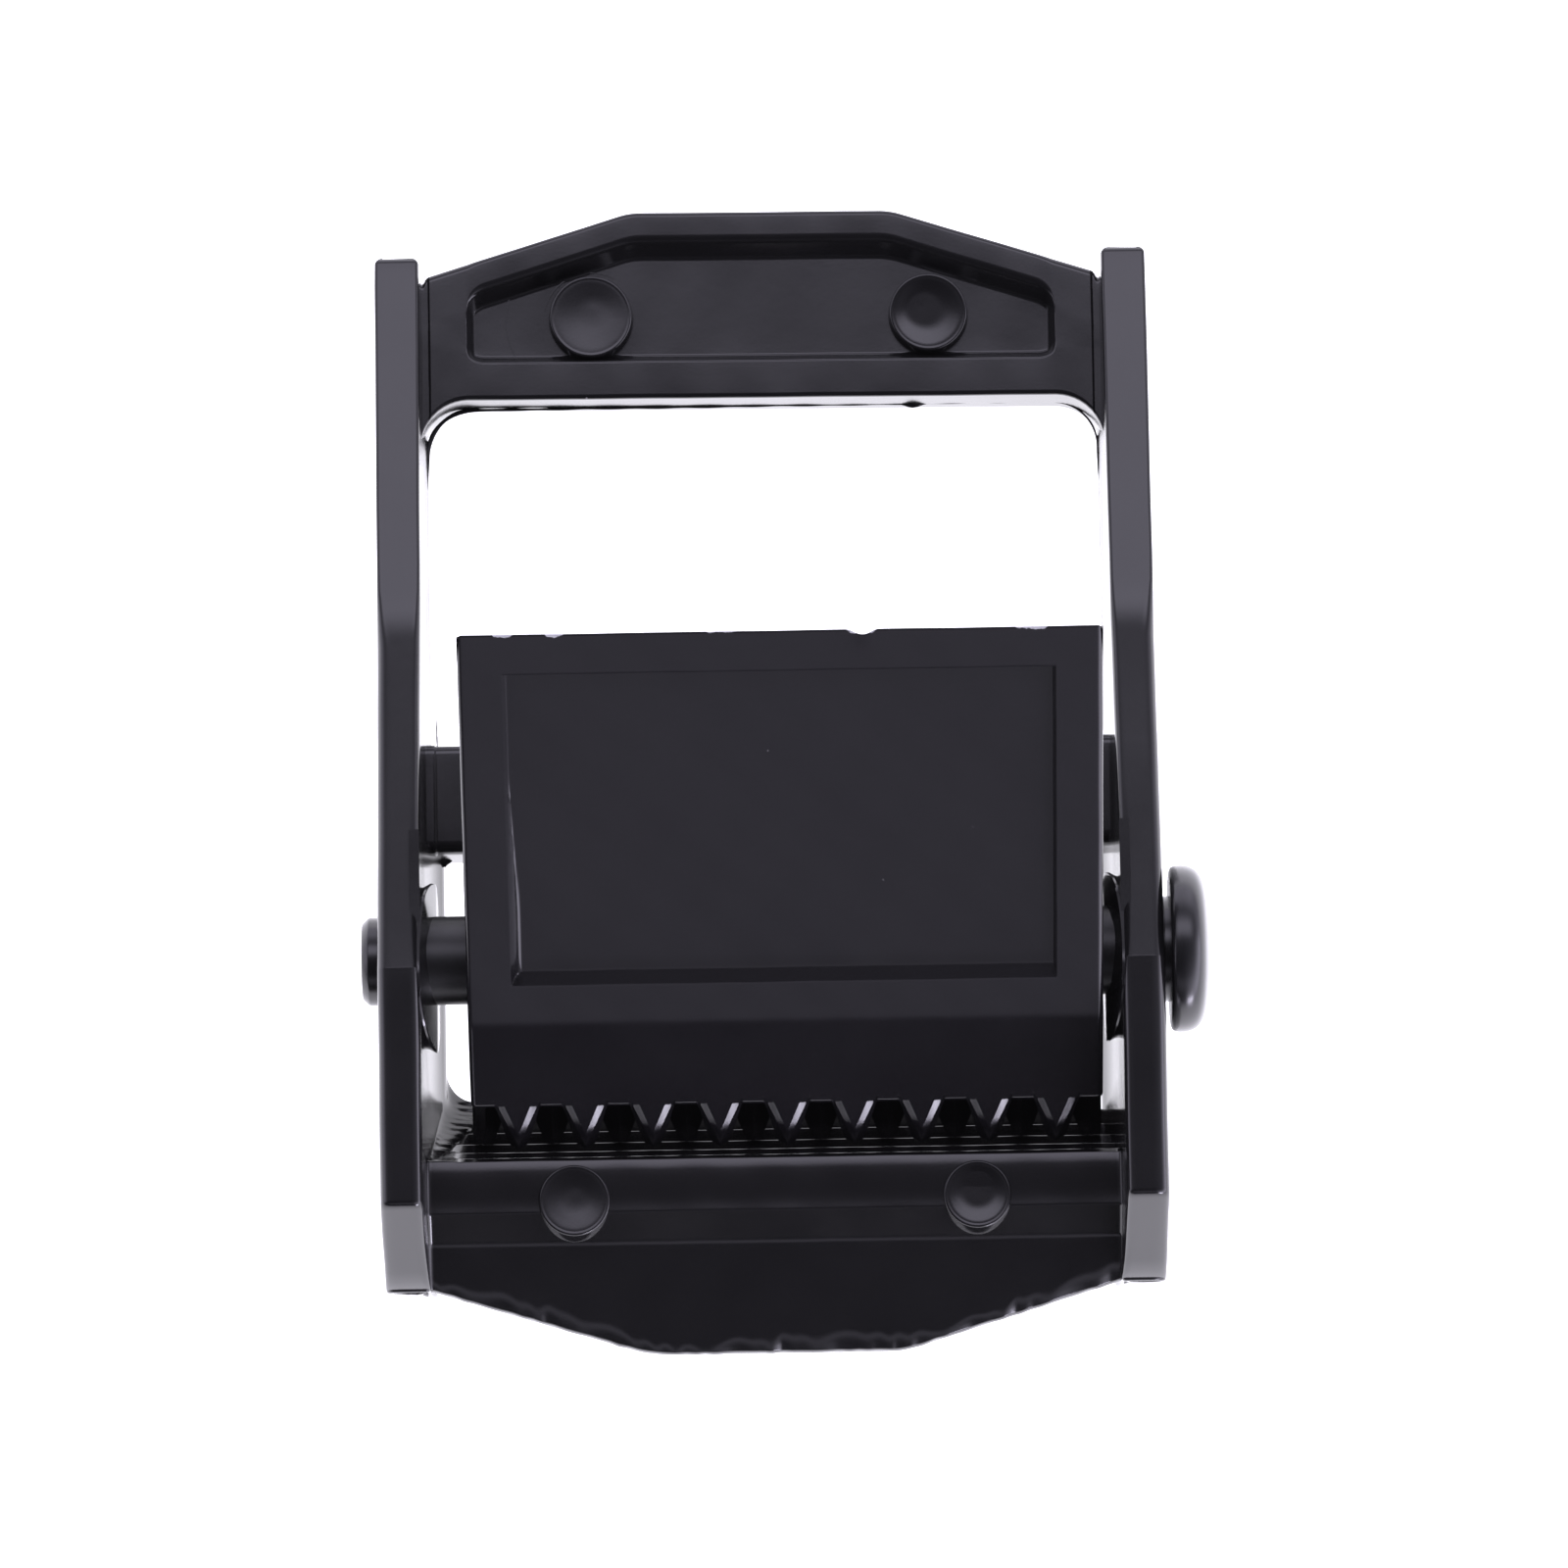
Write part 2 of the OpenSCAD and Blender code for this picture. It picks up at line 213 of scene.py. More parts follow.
def setNormals(mesh):
    # Large faces stay flat and roundings carry the bend: the normal at a face's corner is the sum of
    # area times normal over the faces round that point that turn less than the sharp angle from this one
    n, limit = len(mesh.loops), math.cos(math.radians(meshing["sharp"]))
    point, normal = np.empty(n, np.int32), np.empty(len(mesh.polygons) * 3)
    area, corners = np.empty(len(mesh.polygons)), np.empty(len(mesh.polygons), np.int32)
    mesh.loops.foreach_get("vertex_index", point)
    mesh.polygons.foreach_get("normal", normal)
    mesh.polygons.foreach_get("area", area)
    mesh.polygons.foreach_get("loop_total", corners)
    normal = normal.reshape(-1, 3)
    face = np.repeat(np.arange(len(corners)), corners)
    order = np.argsort(point, kind="stable")
    own, count = normal[face[order]], np.bincount(point)[point[order]]
    first = np.searchsorted(point[order], point[order])
    total = np.zeros((n, 3))
    for k in range(count.max()):
        other = face[order[np.minimum(first + k, n - 1)]]
        near = (k < count) & (np.sum(own * normal[other], 1) > limit)
        total += np.where(near, area[other], 0)[:, None] * normal[other]
    made = np.empty((n, 3))
    made[order] = total / np.maximum(np.linalg.norm(total, axis=1, keepdims=True), 1e-30)
    mesh.normals_split_custom_set(made.tolist())


def pieceFrom(name, shells, waves=0.0):
    # One mesh object from closed shells in millimetres, its faces outward and inside the CAD box
    points, faces, at = [], [], 0
    for pts, quads in shells:
        points.append(pts)
        faces += [[i + at for i in q] for q in outward(pts, quads)]
        at += len(pts)
    points = np.concatenate(points)
    if waves:
        points = castWaves(points, waves)
    points = np.clip(points, np.array(cadBox[0]) / mm, np.array(cadBox[1]) / mm)
    mesh = bpy.data.meshes.new(name)
    mesh.from_pydata((points * mm).tolist(), [], faces)
    bm = bmesh.new()
    bm.from_mesh(mesh)
    bmesh.ops.remove_doubles(bm, verts=bm.verts, dist=meshing["weld"])
    bmesh.ops.dissolve_degenerate(bm, edges=bm.edges, dist=meshing["sliver"])
    bm.to_mesh(mesh)
    bm.free()
    mesh.shade_smooth()
    setNormals(mesh)
    piece = bpy.data.objects.new(name, mesh)
    bpy.context.collection.objects.link(piece)
    print(f"{name}: {len(mesh.vertices)} points, {len(mesh.polygons)} faces")
    return piece


# Cheeks: a cross-section in (X, Z) carried along Y, its top following the side outline

pin = {"y": -7.45, "z": 6.0, "d": 3.6}

cheek = {
    "top": [  # (Y, height, rounding of the bend), from the anvil end to the webbing bar
        (-20.72, 3.4, 0), (-17.7, 9.0, 0.16), (-8.1, 9.3, 0.008), (-0.6, 7.02, 1.6), (6.84, 4.9, 0.9),
        (22.17, 3.4, 0),
    ],
    "outer": 15.925, "inner": 14.2, "foot": 0.33, "footRise": 2.1, "draft": 0.05, "finZ": 0.95,
    "lowEdge": 0.2, "outerEdge": 0.64, "innerEdge": 0.45, "edgesFrom": 8.2, "edgesOver": 2.5,
    "frontEnd": 0.32, "backEnd": 0.16,
    "wallFoot": 0.78, "wallFootRight": 0.7, "wallRound": 1.25,
}


def innerWall(z):
    # Distance of a cheek's inner wall from the middle: widest at the parting line, receding as
    # foot exp(-(z - finZ) / footRise) above it, and with a little draft below it
    above = cheek["foot"] * np.exp(-np.maximum(z - cheek["finZ"], 0) / cheek["footRise"])
    return cheek["inner"] - above + cheek["draft"] * np.maximum(cheek["finZ"] - z, 0)


def cheekShell(side):
    # Section at Y: outer wall upright, top at brokenLine(Y), inner wall at innerWall(Z). The rounding of the
    # edges grows from lowEdge to outerEdge and innerEdge where the top starts to climb.
    back, front = cheek["top"][0][0], cheek["top"][-1][0]
    y = spaced((back, -17.9, 8), (-17.9, -17.45, 9), (-17.45, -8.11, 12), (-8.11, -8.09, 1), (-8.09, 5.6, 18),
               (5.6, 8.0, 10), (8.0, front, 12))
    top = brokenLine(y, cheek["top"])
    high = ramp((cheek["edgesFrom"] - y) / cheek["edgesOver"])
    outerEdge, innerEdge = (cheek["lowEdge"] + (cheek[key] - cheek["lowEdge"]) * high
                            for key in ("outerEdge", "innerEdge"))
    corners = [
        (pair(innerWall(0.0), 0 * y), 0.1, 2), (pair(cheek["outer"], 0 * y), 0.12, 3),
        (pair(cheek["outer"], top), outerEdge, 10), (pair(innerWall(top), top), innerEdge, 9),
    ]
    for share in (0.8, 0.6, 0.4, 0.2, 0.0):
        z = cheek["finZ"] + share * (top - cheek["finZ"])
        corners.append((pair(innerWall(z), z), 0, 0))
    loops = roundedLoops(corners, len(y))
    first, last, firstY, lastY = roundedEnds(loops, back, front, cheek["backEnd"], cheek["frontEnd"], 6)
    loops = np.concatenate([first, loops[1:-1], last])
    y = np.maximum.accumulate(np.concatenate([firstY, y[1:-1], lastY]))
    rows = np.stack([side * loops[..., 0], np.broadcast_to(y[:, None], loops.shape[:2]), loops[..., 1]], -1)
    return tube(rows)


def lowerWallShell(side):
    # Inner wall of a cheek between the middle bar and the anvil, which leans in further at its foot:
    # X(z) = inner - foot exp(-(z - finZ) / footRise) - d, with d the rise of a round corner that runs into
    # the anvil's face. The right one, close beside the lever, has no round corner.
    foot, r = (cheek["wallFootRight"], 0.0) if side > 0 else (cheek["wallFoot"], cheek["wallRound"])
    z = spaced((0, cheek["finZ"], 4), (cheek["finZ"], 5.0, 14), (5.0, 8.6, 8))
    y = spaced((-15.4, -11.0, 44), (-11.0, -2.4, 10))[:, None]
    radius = np.maximum(r * (1 - z / anvil["top"]), 1e-3)
    faceY = pin["y"] - np.sqrt(np.maximum(anvil["r"] ** 2 - (pin["z"] - z) ** 2, 0))
    into = np.clip(faceY + 1.28 * radius - y, 0, radius)
    lean = foot * np.exp(-np.maximum(z - cheek["finZ"], 0) / cheek["footRise"])
    x = cheek["inner"] - lean - (radius - np.sqrt(radius ** 2 - into ** 2))
    inside = np.stack([x, y + 0 * x, z + 0 * x], -1)
    outside = inside[:, ::-1].copy()
    outside[..., 0] = cheek["inner"] + 0.4
    rows = np.concatenate([inside, outside], 1)
    rows[..., 0] *= side
    return tube(rows)


# Fins: thin seams that the mould's halves leave, each an upright ellipse carried along a level path

def finShell(path, reach, thick):
    # Half as wide as reach across the path, which lies on the wall it stands out from, and thick high
    step = np.gradient(path, axis=0)
    across = np.stack([-step[:, 1], step[:, 0], 0 * step[:, 0]], -1)
    across /= np.maximum(np.linalg.norm(across, axis=1, keepdims=True), 1e-9)
    reach, thick = (np.broadcast_to(v, (len(path),))[:, None] for v in (reach, thick))
    return swept(path, across * reach, np.array([0, 0, 1.0]) * thick, 10)


fins = {
    "seam": 0.065, "thick": 0.05, "cornerReach": 0.05, "cornerAt": (-13.0, 15.4), "cornerWide": 2.6,
    "fadeOver": 1.2, "nickAt": 6.31, "nickWide": 0.55, "nickReach": 0.16,
    "leftEnd": (-15.6, -14.3, 0.05), "rightEnd": (14.4, 15.7, 0.02), "endZ": 2.95,
    "barFlash": (-14.2, -13.05, -2.66, 0.9, 0.32), "barHair": (-13.6, 2.0, 3.1),
}


def windowSeam():
    # Along the webbing window: up the left wall, round its corners, and down the right wall
    wall, end, r = innerWall(cheek["finZ"]), bar["window"], bar["windowRound"] - 0.1
    turn = np.radians(spaced((0, 90, 14)))
    left = pair(-wall + r * (1 - np.cos(turn)), end - r + r * np.sin(turn))
    rise = pair(-wall, spaced((end - r - 1.4, end - r - 0.1, 10)))
    along = pair(spaced((-wall + r + 0.1, wall - r - 0.1, 160)), end)
    path = np.concatenate([rise, left, along, left[::-1] * [-1, 1], rise[::-1] * [-1, 1]])
    x, y = path.T
    path = np.stack([x, y, np.full(len(x), cheek["finZ"])], -1)
    far = np.hypot(x - fins["cornerAt"][0], y - fins["cornerAt"][1])
    nick = bell((x - fins["nickAt"]) / fins["nickWide"]) * (y > 10)
    reach = fins["seam"] + fins["cornerReach"] * bell(far / fins["cornerWide"]) + fins["nickReach"] * nick
    reach = reach * (0.85 + 0.15 * np.sin(3.1 * x + 1.7 * y))
    risen = np.clip((y - y[0]) / fins["fadeOver"], 0.05, 1)
    return finShell(path, reach * risen, (fins["thick"] + 0.05 * nick) * risen)


def straightFin(start, end, reach, thick, peak):
    # Lens-shaped fin between two points, reach wide in its middle or nearer its end
    t = np.linspace(0, 1, 25)[:, None]
    path = np.array(start) * (1 - t) + np.array(end) * t
    lens = np.sin(np.pi * t[:, 0] ** peak) ** 0.7
    ragged = 1 + 0.12 * np.sin(19 * t[:, 0]) + 0.08 * np.sin(43 * t[:, 0] + 1)
    return finShell(path, 0.012 + reach * lens * ragged, thick)


def finShells():
    # The seam's ends at the anvil, the flash beside the middle bar, and a hair of it under the bar
    back, z = cheek["top"][0][0], fins["endZ"]
    x0, x1, reach = fins["leftEnd"]
    r0, r1, rightReach = fins["rightEnd"]
    b0, b1, y, barZ, barReach = fins["barFlash"]
    hairX, hairY, hairEnd = fins["barHair"]
    straight = [
        ((x0, back, z), (x1, back, z), reach, 0.07, 1.6),
        ((r0, back, z), (r1, back, z), rightReach, 0.05, 1.0),
        ((b0, y, barZ), (b1, y, barZ), barReach, 0.09, 0.8),
        ((hairX, hairY - 0.3, 1.6), (hairX - 0.02, hairEnd, 1.9), 0.02, 0.03, 0.6),
    ]
    return [windowSeam()] + [straightFin(*fin) for fin in straight]


# Webbing bar: one cross-section carried along X

bar = {
    "front": 23.96, "flat": 5.4, "side": 21.15, "sideX": 14.425, "window": 16.14, "windowRound": 2.0,
    "top": 3.0, "skew": -0.006, "root": 14.2, "end": 14.4, "grooveAt": 13.66, "grooveDeep": 0.09,
    "notch": 0.22, "notchAt": 13.95, "edge": 0.32,
    "pocketDepth": 0.7, "pocketHalf": 12.15, "pocketBack": 17.72, "pocketFront": 22.77,
    "pocketSide": 20.6, "pocketFlat": 5.3, "pocketRound": 0.75, "slopeRun": 0.62, "sideRun": 0.27,
    "leftPad": {
        "at": (-7.015, 19.63), "r": 1.7, "high": 3.05, "dish": 0.05, "lean": (0.0, 0.0),
        "offset": (0.15, 0.35), "flat": 0.3,
    },
    "rightPad": {
        "at": (6.93, 19.6), "r": 1.6, "high": 3.04, "dish": 0.085, "lean": (0.0, 0.045),
        "offset": (-0.3, 0.28), "flat": 0.55,
    },
    "arcs": [(-7.015, 19.63, 3.5, 150, 206), (-7.015, 19.63, 1.95, 60, 170)],  # centre, radius, angles
}


def bent(x, flat, slope, soft=0.45):
    # Level within flat of the middle, then falling by slope, the bend rounded as a parabola
    return -slope * softRelu(np.abs(x) - flat, soft)


def rounding(x, edge, r):
    # Rise of a quarter circle of radius r that ends at edge, from 0 to r
    t = np.clip((np.abs(x) - (edge - r)) / r, 0, 1)
    return r * (1 - np.sqrt(1 - t ** 2))


def webbingBarShell():
    # Section at X: the front edge is level up to flat and then slopes back, the window's edge is cut back
    # by a quarter circle at the roots, and the floor lies pocketDepth times sunk(X) under the top
    half = bar["pocketHalf"]
    x = mirroredValues(spaced(
        (0.0, 4.6, 12), (4.6, 6.2, 10), (6.2, half - 0.9, 18), (half - 0.9, half + 0.05, 26),
        (half + 0.05, 13.6, 6), (13.6, 13.8, 10), (13.8, bar["root"], 12), (bar["root"], bar["end"], 1),
    ))
    slope = (bar["front"] - bar["side"]) / (bar["sideX"] - bar["flat"])
    pocketSlope = (bar["pocketFront"] - bar["pocketSide"]) / (half - bar["pocketFlat"])
    front = bar["front"] + bent(x, bar["flat"], slope)
    window = bar["window"] - rounding(x, bar["root"] - 0.1, bar["windowRound"])
    corner = rounding(x, half, bar["pocketRound"])
    rim = bar["pocketFront"] + bent(x, bar["pocketFlat"], pocketSlope) - corner
    low = bar["pocketBack"] + 0.6 * corner
    sunk = ramp((half - np.abs(x)) / bar["sideRun"], 0.16)
    groove = ramp((np.abs(x) - bar["grooveAt"]) / 0.08)
    top = bar["top"] - bar["grooveDeep"] * groove + 0.002 * groove * np.sin(41 * np.abs(x))
    front = front - bar["notch"] * bell((np.abs(x) - bar["notchAt"]) / 0.2)
    floor = top - bar["pocketDepth"] * sunk
    foot = np.maximum(rim - bar["slopeRun"] * (0.35 + 0.65 * sunk), low + 0.5)

    corners = [
        (pair(window, 0), 0.12, 3), (pair(front - 0.04, 0), 0.12, 3), (pair(front, top), bar["edge"], 8),
        (pair(front * 0.6 + rim * 0.4, top), 0, 0),
        (pair(rim, top), 0.24, 7), (pair(foot, floor), 0.14, 5),
        (pair(foot * 0.66 + low * 0.34, floor), 0, 0), (pair(foot * 0.33 + low * 0.67, floor), 0, 0),
        (pair(low + 0.27, floor), 0.12, 5), (pair(low, top), 0.1, 5),
        (pair(low * 0.5 + window * 0.5, top), 0, 0),
        (pair(window, top), 0.2, 7),
    ]
    loops = roundedLoops(corners, len(x))
    loops[..., 0] += bar["skew"] * x[:, None]
    return tube(carried(loops, x))


def padShell(pad, low, footR, footShift=0.0):
    # Round pad left by an ejector: a low rim, inside it a dish with a level floor set off its centre,
    # z = high - dish (1 - ramp of the distance outwards), the whole leaning a little on its conical foot
    r, high, rimWide = pad["r"], pad["high"], 0.09
    quarter = np.linspace(0, np.pi / 2, 6)
    rim = pair(r - rimWide + rimWide * np.cos(quarter), high - rimWide + rimWide * np.sin(quarter))
    d = np.concatenate([np.linspace(1, 0.9, 5), np.linspace(0.86, 0.02, 18)])
    climb = ramp((d - pad["flat"]) / (0.93 - pad["flat"]), 0.3, 0.1)
    top = pair((r - 1.6 * rimWide) * d, high - 0.012 - pad["dish"] * (1 - climb))
    points, faces = turned(np.concatenate([[[footR, low]], rim, top]), 72, pad["at"], upright=True)
    off = points[:, :2] - np.array(pad["at"])
    inward = np.clip(1 - np.linalg.norm(off, axis=1) / (r - 1.6 * rimWide), 0, 1)
    above = np.clip((points[:, 2] - low) / (high - low), 0, 1)
    points[:, 2] += above * (off @ np.array(pad["lean"]))
    points[:, :2] += inward[:, None] * np.array(pad["offset"])
    points[:, 1] += (1 - above) * footShift
    return points, faces


def arcShell(x, y, r, start, end, z, wide=0.035):
    # Faint raised arc on a level face: a flattened round thread that thins out at its ends
    a = np.radians(np.linspace(start, end, 40))
    path = np.stack([x + r * np.cos(a), y + r * np.sin(a), z + 0 * a], -1)
    return finShell(path, wide * (0.3 + 0.7 * np.sin(np.linspace(0, np.pi, 40))), 0.012)


# Middle bar

middle = {
    "front": 1.9, "back": -2.7, "top": 3.0, "round": 0.6, "collar": 13.62, "collarRise": 0.05, "root": 14.15,
}


def middleBarShell():
    # The same rounded rectangle all along, grown outwards by collarRise past the collar and by a small
    # quarter circle at the root
    x = mirroredValues(spaced((0, 13.3, 24), (13.3, 13.7, 12), (13.7, 14.16, 8), (14.16, 14.4, 1)))
    back, front, top = middle["back"], middle["front"], middle["top"]
    corners = [
        ((back, 0), 0.3, 4), ((front, 0), 0.3, 4), ((front, top), middle["round"], 8),
        ((1.0, top), 0, 0), ((0.0, top), 0, 0), ((-1.2, top), 0, 0), ((back, top), middle["round"], 8),
    ]
    loops = roundedLoops(corners, len(x))
    grow = middle["collarRise"] * (ramp((np.abs(x) - middle["collar"]) / 0.08) - 1)
    grow = grow + rounding(x, middle["root"], 0.1)
    return tube(carried(loops + loopNormals(loops) * grow[:, None, None] * (loops[..., 1:] > 0.3), x))


# Anvil and lower plate: one cross-section carried along X, flared where it meets the cheeks

anvil = {
    "top": 4.8, "topBack": -17.7, "frontEdge": 0.12, "footY": -18.84, "footZ": 3.63, "lowZ": 0.35, "r": 8.15,
    "crown": [  # way back from the front edge, and how far the top has fallen there
        (0.2, 0.018), (0.35, 0.005), (0.5, 0), (0.8, 0.006), (1.2, 0.028), (1.5, 0.048), (1.68, 0.056),
        (1.82, 0.06), (1.95, 0.0605), (2.07, 0.0595),
    ],
    "ridges": 5, "ridgeDepth": 0.42, "ridgesTo": 12.35, "ridgesFade": 0.75,
    "edgeZ": 1.6, "edgeY": -23.28, "edgeFlat": 5.2, "edgeSide": -20.55, "sideX": 14.425,
    "root": 14.2, "flare": 0.25, "rim": 0.46, "rimSlope": 37,
    "leftPad": {
        "at": (-8.16, -17.2), "r": 1.45, "high": 4.86, "dish": 0.07, "lean": (0.0, 0.0),
        "offset": (0.1, 0.25), "flat": 0.35,
    },
    "rightPad": {
        "at": (8.245, -17.2), "r": 1.38, "high": 4.85, "dish": 0.08, "lean": (0.0, 0.01),
        "offset": (0.05, 0.25), "flat": 0.55,
    },
    "padFoot": 1.5, "footShift": -0.3,
}


def anvilShell():
    # Section at X: an arc of radius r round the pin, stepped by ridges at even angles, the crowned top, the
    # back slope, the straight fall of the plate and its worn rim. The plate's edge slopes back on both sides
    # of the middle, and sums of sines of X roughen it.
    root = anvil["root"]
    x = mirroredValues(spaced(
        (0, 4.6, 70), (4.6, 7.0, 38), (7.0, 13.6, 92), (13.6, root, 12), (root, 14.4, 1),
    ))
    low, high = (math.degrees(math.asin((pin["z"] - anvil[key]) / anvil["r"])) for key in ("lowZ", "top"))
    step = (low - high) / anvil["ridges"]
    centre = (pin["y"], pin["z"])
    slope = (anvil["edgeSide"] - anvil["edgeY"]) / (anvil["sideX"] - anvil["edgeFlat"])
    edge = anvil["edgeY"] - bent(x, anvil["edgeFlat"], slope, 0.8)
    rough = 0.02 * np.sin(2.3 * x + 2 * np.sin(0.9 * x)) + 0.012 * np.sin(6.1 * x + 1.3 * np.sin(1.9 * x))
    nibble = 0.06 * np.sin(1.9 * x + 2.4 * np.sin(0.7 * x)) + 0.035 * np.sin(5.3 * x + 2 * np.sin(1.3 * x))
    fall = (anvil["footZ"] - anvil["edgeZ"]) / (anvil["footY"] - anvil["edgeY"])

    def onPlateTop(y):
        return pair(y, anvil["footZ"] + fall * (y - anvil["footY"]))

    deep = anvil["ridgeDepth"] * (1 - ramp((-x - anvil["ridgesTo"]) / anvil["ridgesFade"]))
    lowY = polar(anvil["r"], 180 + low, centre)[0] + 0 * x
    corners = [(pair(edge + 0.3, 0), 0.1, 2), (pair(lowY, 0), 0.1, 2)]
    for i in range(anvil["ridges"]):
        corners.append((polar(anvil["r"], 180 + low - i * step, centre), 0.1, 3))
        corners.append((polar(anvil["r"] + deep, 180 + low - (i + 0.82) * step, centre), 0.08, 3))
    top, back = anvil["top"], anvil["topBack"]
    frontY = float(polar(anvil["r"], 180 + high, centre)[0])
    corners.append(((frontY, top - 0.045), anvil["frontEdge"], 6))
    for way, fallen in anvil["crown"]:
        corners.append(((frontY - way, top - fallen), 0, 0))
    corners += [((back, top - 0.058), 0.09, 5), ((anvil["footY"], anvil["footZ"]), 0.16, 6)]
    rim = anvil["rim"] + 0.1 * np.sin(0.55 * x + 0.4) + nibble
    for u in (0.25, 0.5, 0.75):
        corners.append((onPlateTop(anvil["footY"] * (1 - u) + (edge + rim + 0.4) * u), 0, 0))
    rimTop = onPlateTop(edge + rim)
    rimEnd = rimTop[:, 1] - (rim - 0.08) * math.tan(math.radians(anvil["rimSlope"])) - 0.5 * nibble
    corners += [
        (rimTop, 0.3, 6), (pair(edge + 0.08 + 0.5 * rough, rimEnd), 0.07, 3),
        (pair(edge + 0.02 + rough, rimEnd - 0.25), 0.04, 2),
        (pair(edge + 0.04 - 0.5 * rough, rimEnd - 0.6), 0.04, 2),
    ]
    loops = roundedLoops(corners, len(x))
    normal = loopNormals(loops)
    upper = (loops[..., 0] < -15.0) & (loops[..., 1] > 0.5) & (normal[..., 1] > 0.2)
    loops = loops + normal * (rounding(x, root, anvil["flare"])[:, None] * upper)[..., None]
    return tube(carried(loops, x))


# Lands: low round bosses on the cheeks' inner faces, which keep the lever off them. Over the pin each face
# leans back, so that it runs out in the cheek's crest.

land = {"r": 3.45, "y": -7.75, "face": 13.575, "lean": 0.185}


def landShell(side):
    # A disc whose face leans by lean times the height over the pin, cut off under the cheek's top
    r, face = land["r"], land["face"]
    profile = face * np.array([1.0, 0]) + [
        [1.0, r - 0.2], [0.36, r - 0.14], [0.1, r], [0.03, r - 0.02], [0, r - 0.08], [0, 0.05],
    ]
    points, faces = turned(profile, 96, (land["y"], pin["z"]))
    x, y, z = points.T
    x = np.minimum(x + land["lean"] * np.maximum(z - pin["z"], 0), cheek["inner"] + 0.3)
    z = np.minimum(z, brokenLine(y, cheek["top"]) - 0.12)
    return np.stack([side * x, y, z], -1), faces


def buildFrame():
    shells = [shell(side) for shell in (cheekShell, landShell, lowerWallShell) for side in (1, -1)]
    shells += [webbingBarShell(), middleBarShell(), anvilShell()] + finShells()
    for key in ("leftPad", "rightPad"):
        shells.append(padShell(bar[key], 2.0, bar[key]["r"] + 0.08))
        shells.append(padShell(anvil[key], 2.2, anvil["padFoot"], anvil["footShift"]))
    shells += [arcShell(*arc, bar["top"] - bar["pocketDepth"]) for arc in bar["arcs"]]
    return pieceFrom("castFrame", shells, meshing["waves"])


# Rivet: one turned profile, (X, radius)

rivet = {
    "tail": -16.62, "chamfer": 0.25, "neckR": 2.15,
    "head": [  # (X, radius) from under the head over its rim to the middle of the dome
        (16.2, 2.95), (16.22, 3.16), (16.28, 3.3), (16.38, 3.37), (16.55, 3.4), (16.75, 3.4), (16.95, 3.37),
        (17.1, 3.32), (17.24, 3.25), (17.36, 3.15), (17.47, 3.0), (17.56, 2.82), (17.63, 2.58), (17.69, 2.3),
        (17.735, 2.0), (17.77, 1.65), (17.795, 1.25), (17.815, 0.8), (17.82, 0.3), (17.82, 0.01),
    ],
}


def buildRivet():
    r, c, x, neck = pin["d"] / 2, rivet["chamfer"], rivet["tail"], cheek["outer"] + 0.05
    shank = [
        (x, 0.02), (x, r - c - 0.05), (x + 0.05, r - c + 0.04), (x + c, r - 0.03), (x + c + 0.08, r),
        (neck, r), (neck, rivet["neckR"]), (rivet["head"][0][0], rivet["neckR"]),
    ]
    return pieceFrom("rivet", [turned(np.array(shank + rivet["head"]), 128, (pin["y"], pin["z"]))])


# Return spring: a wire swept along straight leg, helix, straight leg

spring = {"wire": 0.6, "turns": 7, "span": 3.86, "gap": 0.12, "leg": 7.0, "upSlope": 34.2, "downSlope": -3.5}


def buildSpring(shift):
    r = pin["d"] / 2 + spring["gap"] + spring["wire"] / 2
    x0, x1 = shift - spring["span"] / 2, shift + spring["span"] / 2
    low, high = math.radians(spring["downSlope"]), math.radians(spring["upSlope"])
    # the low leg leaves under the pin and the high leg over it: both along the coil's tangent
    a0, a1 = low - np.pi / 2, high + np.pi / 2
    # coil: (x0 + (x1 - x0) t, r cos angle, r sin angle), the angle falling evenly with t
    t = np.linspace(0, 1, 300)
    angle = a0 - (2 * np.pi * spring["turns"] - (a1 - a0)) * t
    coil = np.stack([x0 + (x1 - x0) * t, r * np.cos(angle), r * np.sin(angle)], -1)
    out = np.linspace(spring["leg"], 0.15, 14)[:, None]
    lowLeg = coil[:1] + out * np.array([[0, math.cos(low), math.sin(low)]])
    highLeg = coil[-1:] + out[::-1] * np.array([[0, math.cos(high), math.sin(high)]])
    path = np.concatenate([lowLeg, coil, highLeg]) + np.array([0, pin["y"], pin["z"]])
    tangent = np.gradient(path, axis=0)
    tangent /= np.linalg.norm(tangent, axis=1, keepdims=True)
    side = np.array([1.0, 0, 0]) - tangent * tangent[:, :1]
    side /= np.linalg.norm(side, axis=1, keepdims=True)
    side *= spring["wire"] / 2
    return pieceFrom("returnSpring", [swept(path, side, np.cross(tangent, side), 12)]), x0, x1


# Cam lever: a side outline carried along X and changing with it, from tooth to tooth, over the thumb
# plate's panel and across the spring's slot

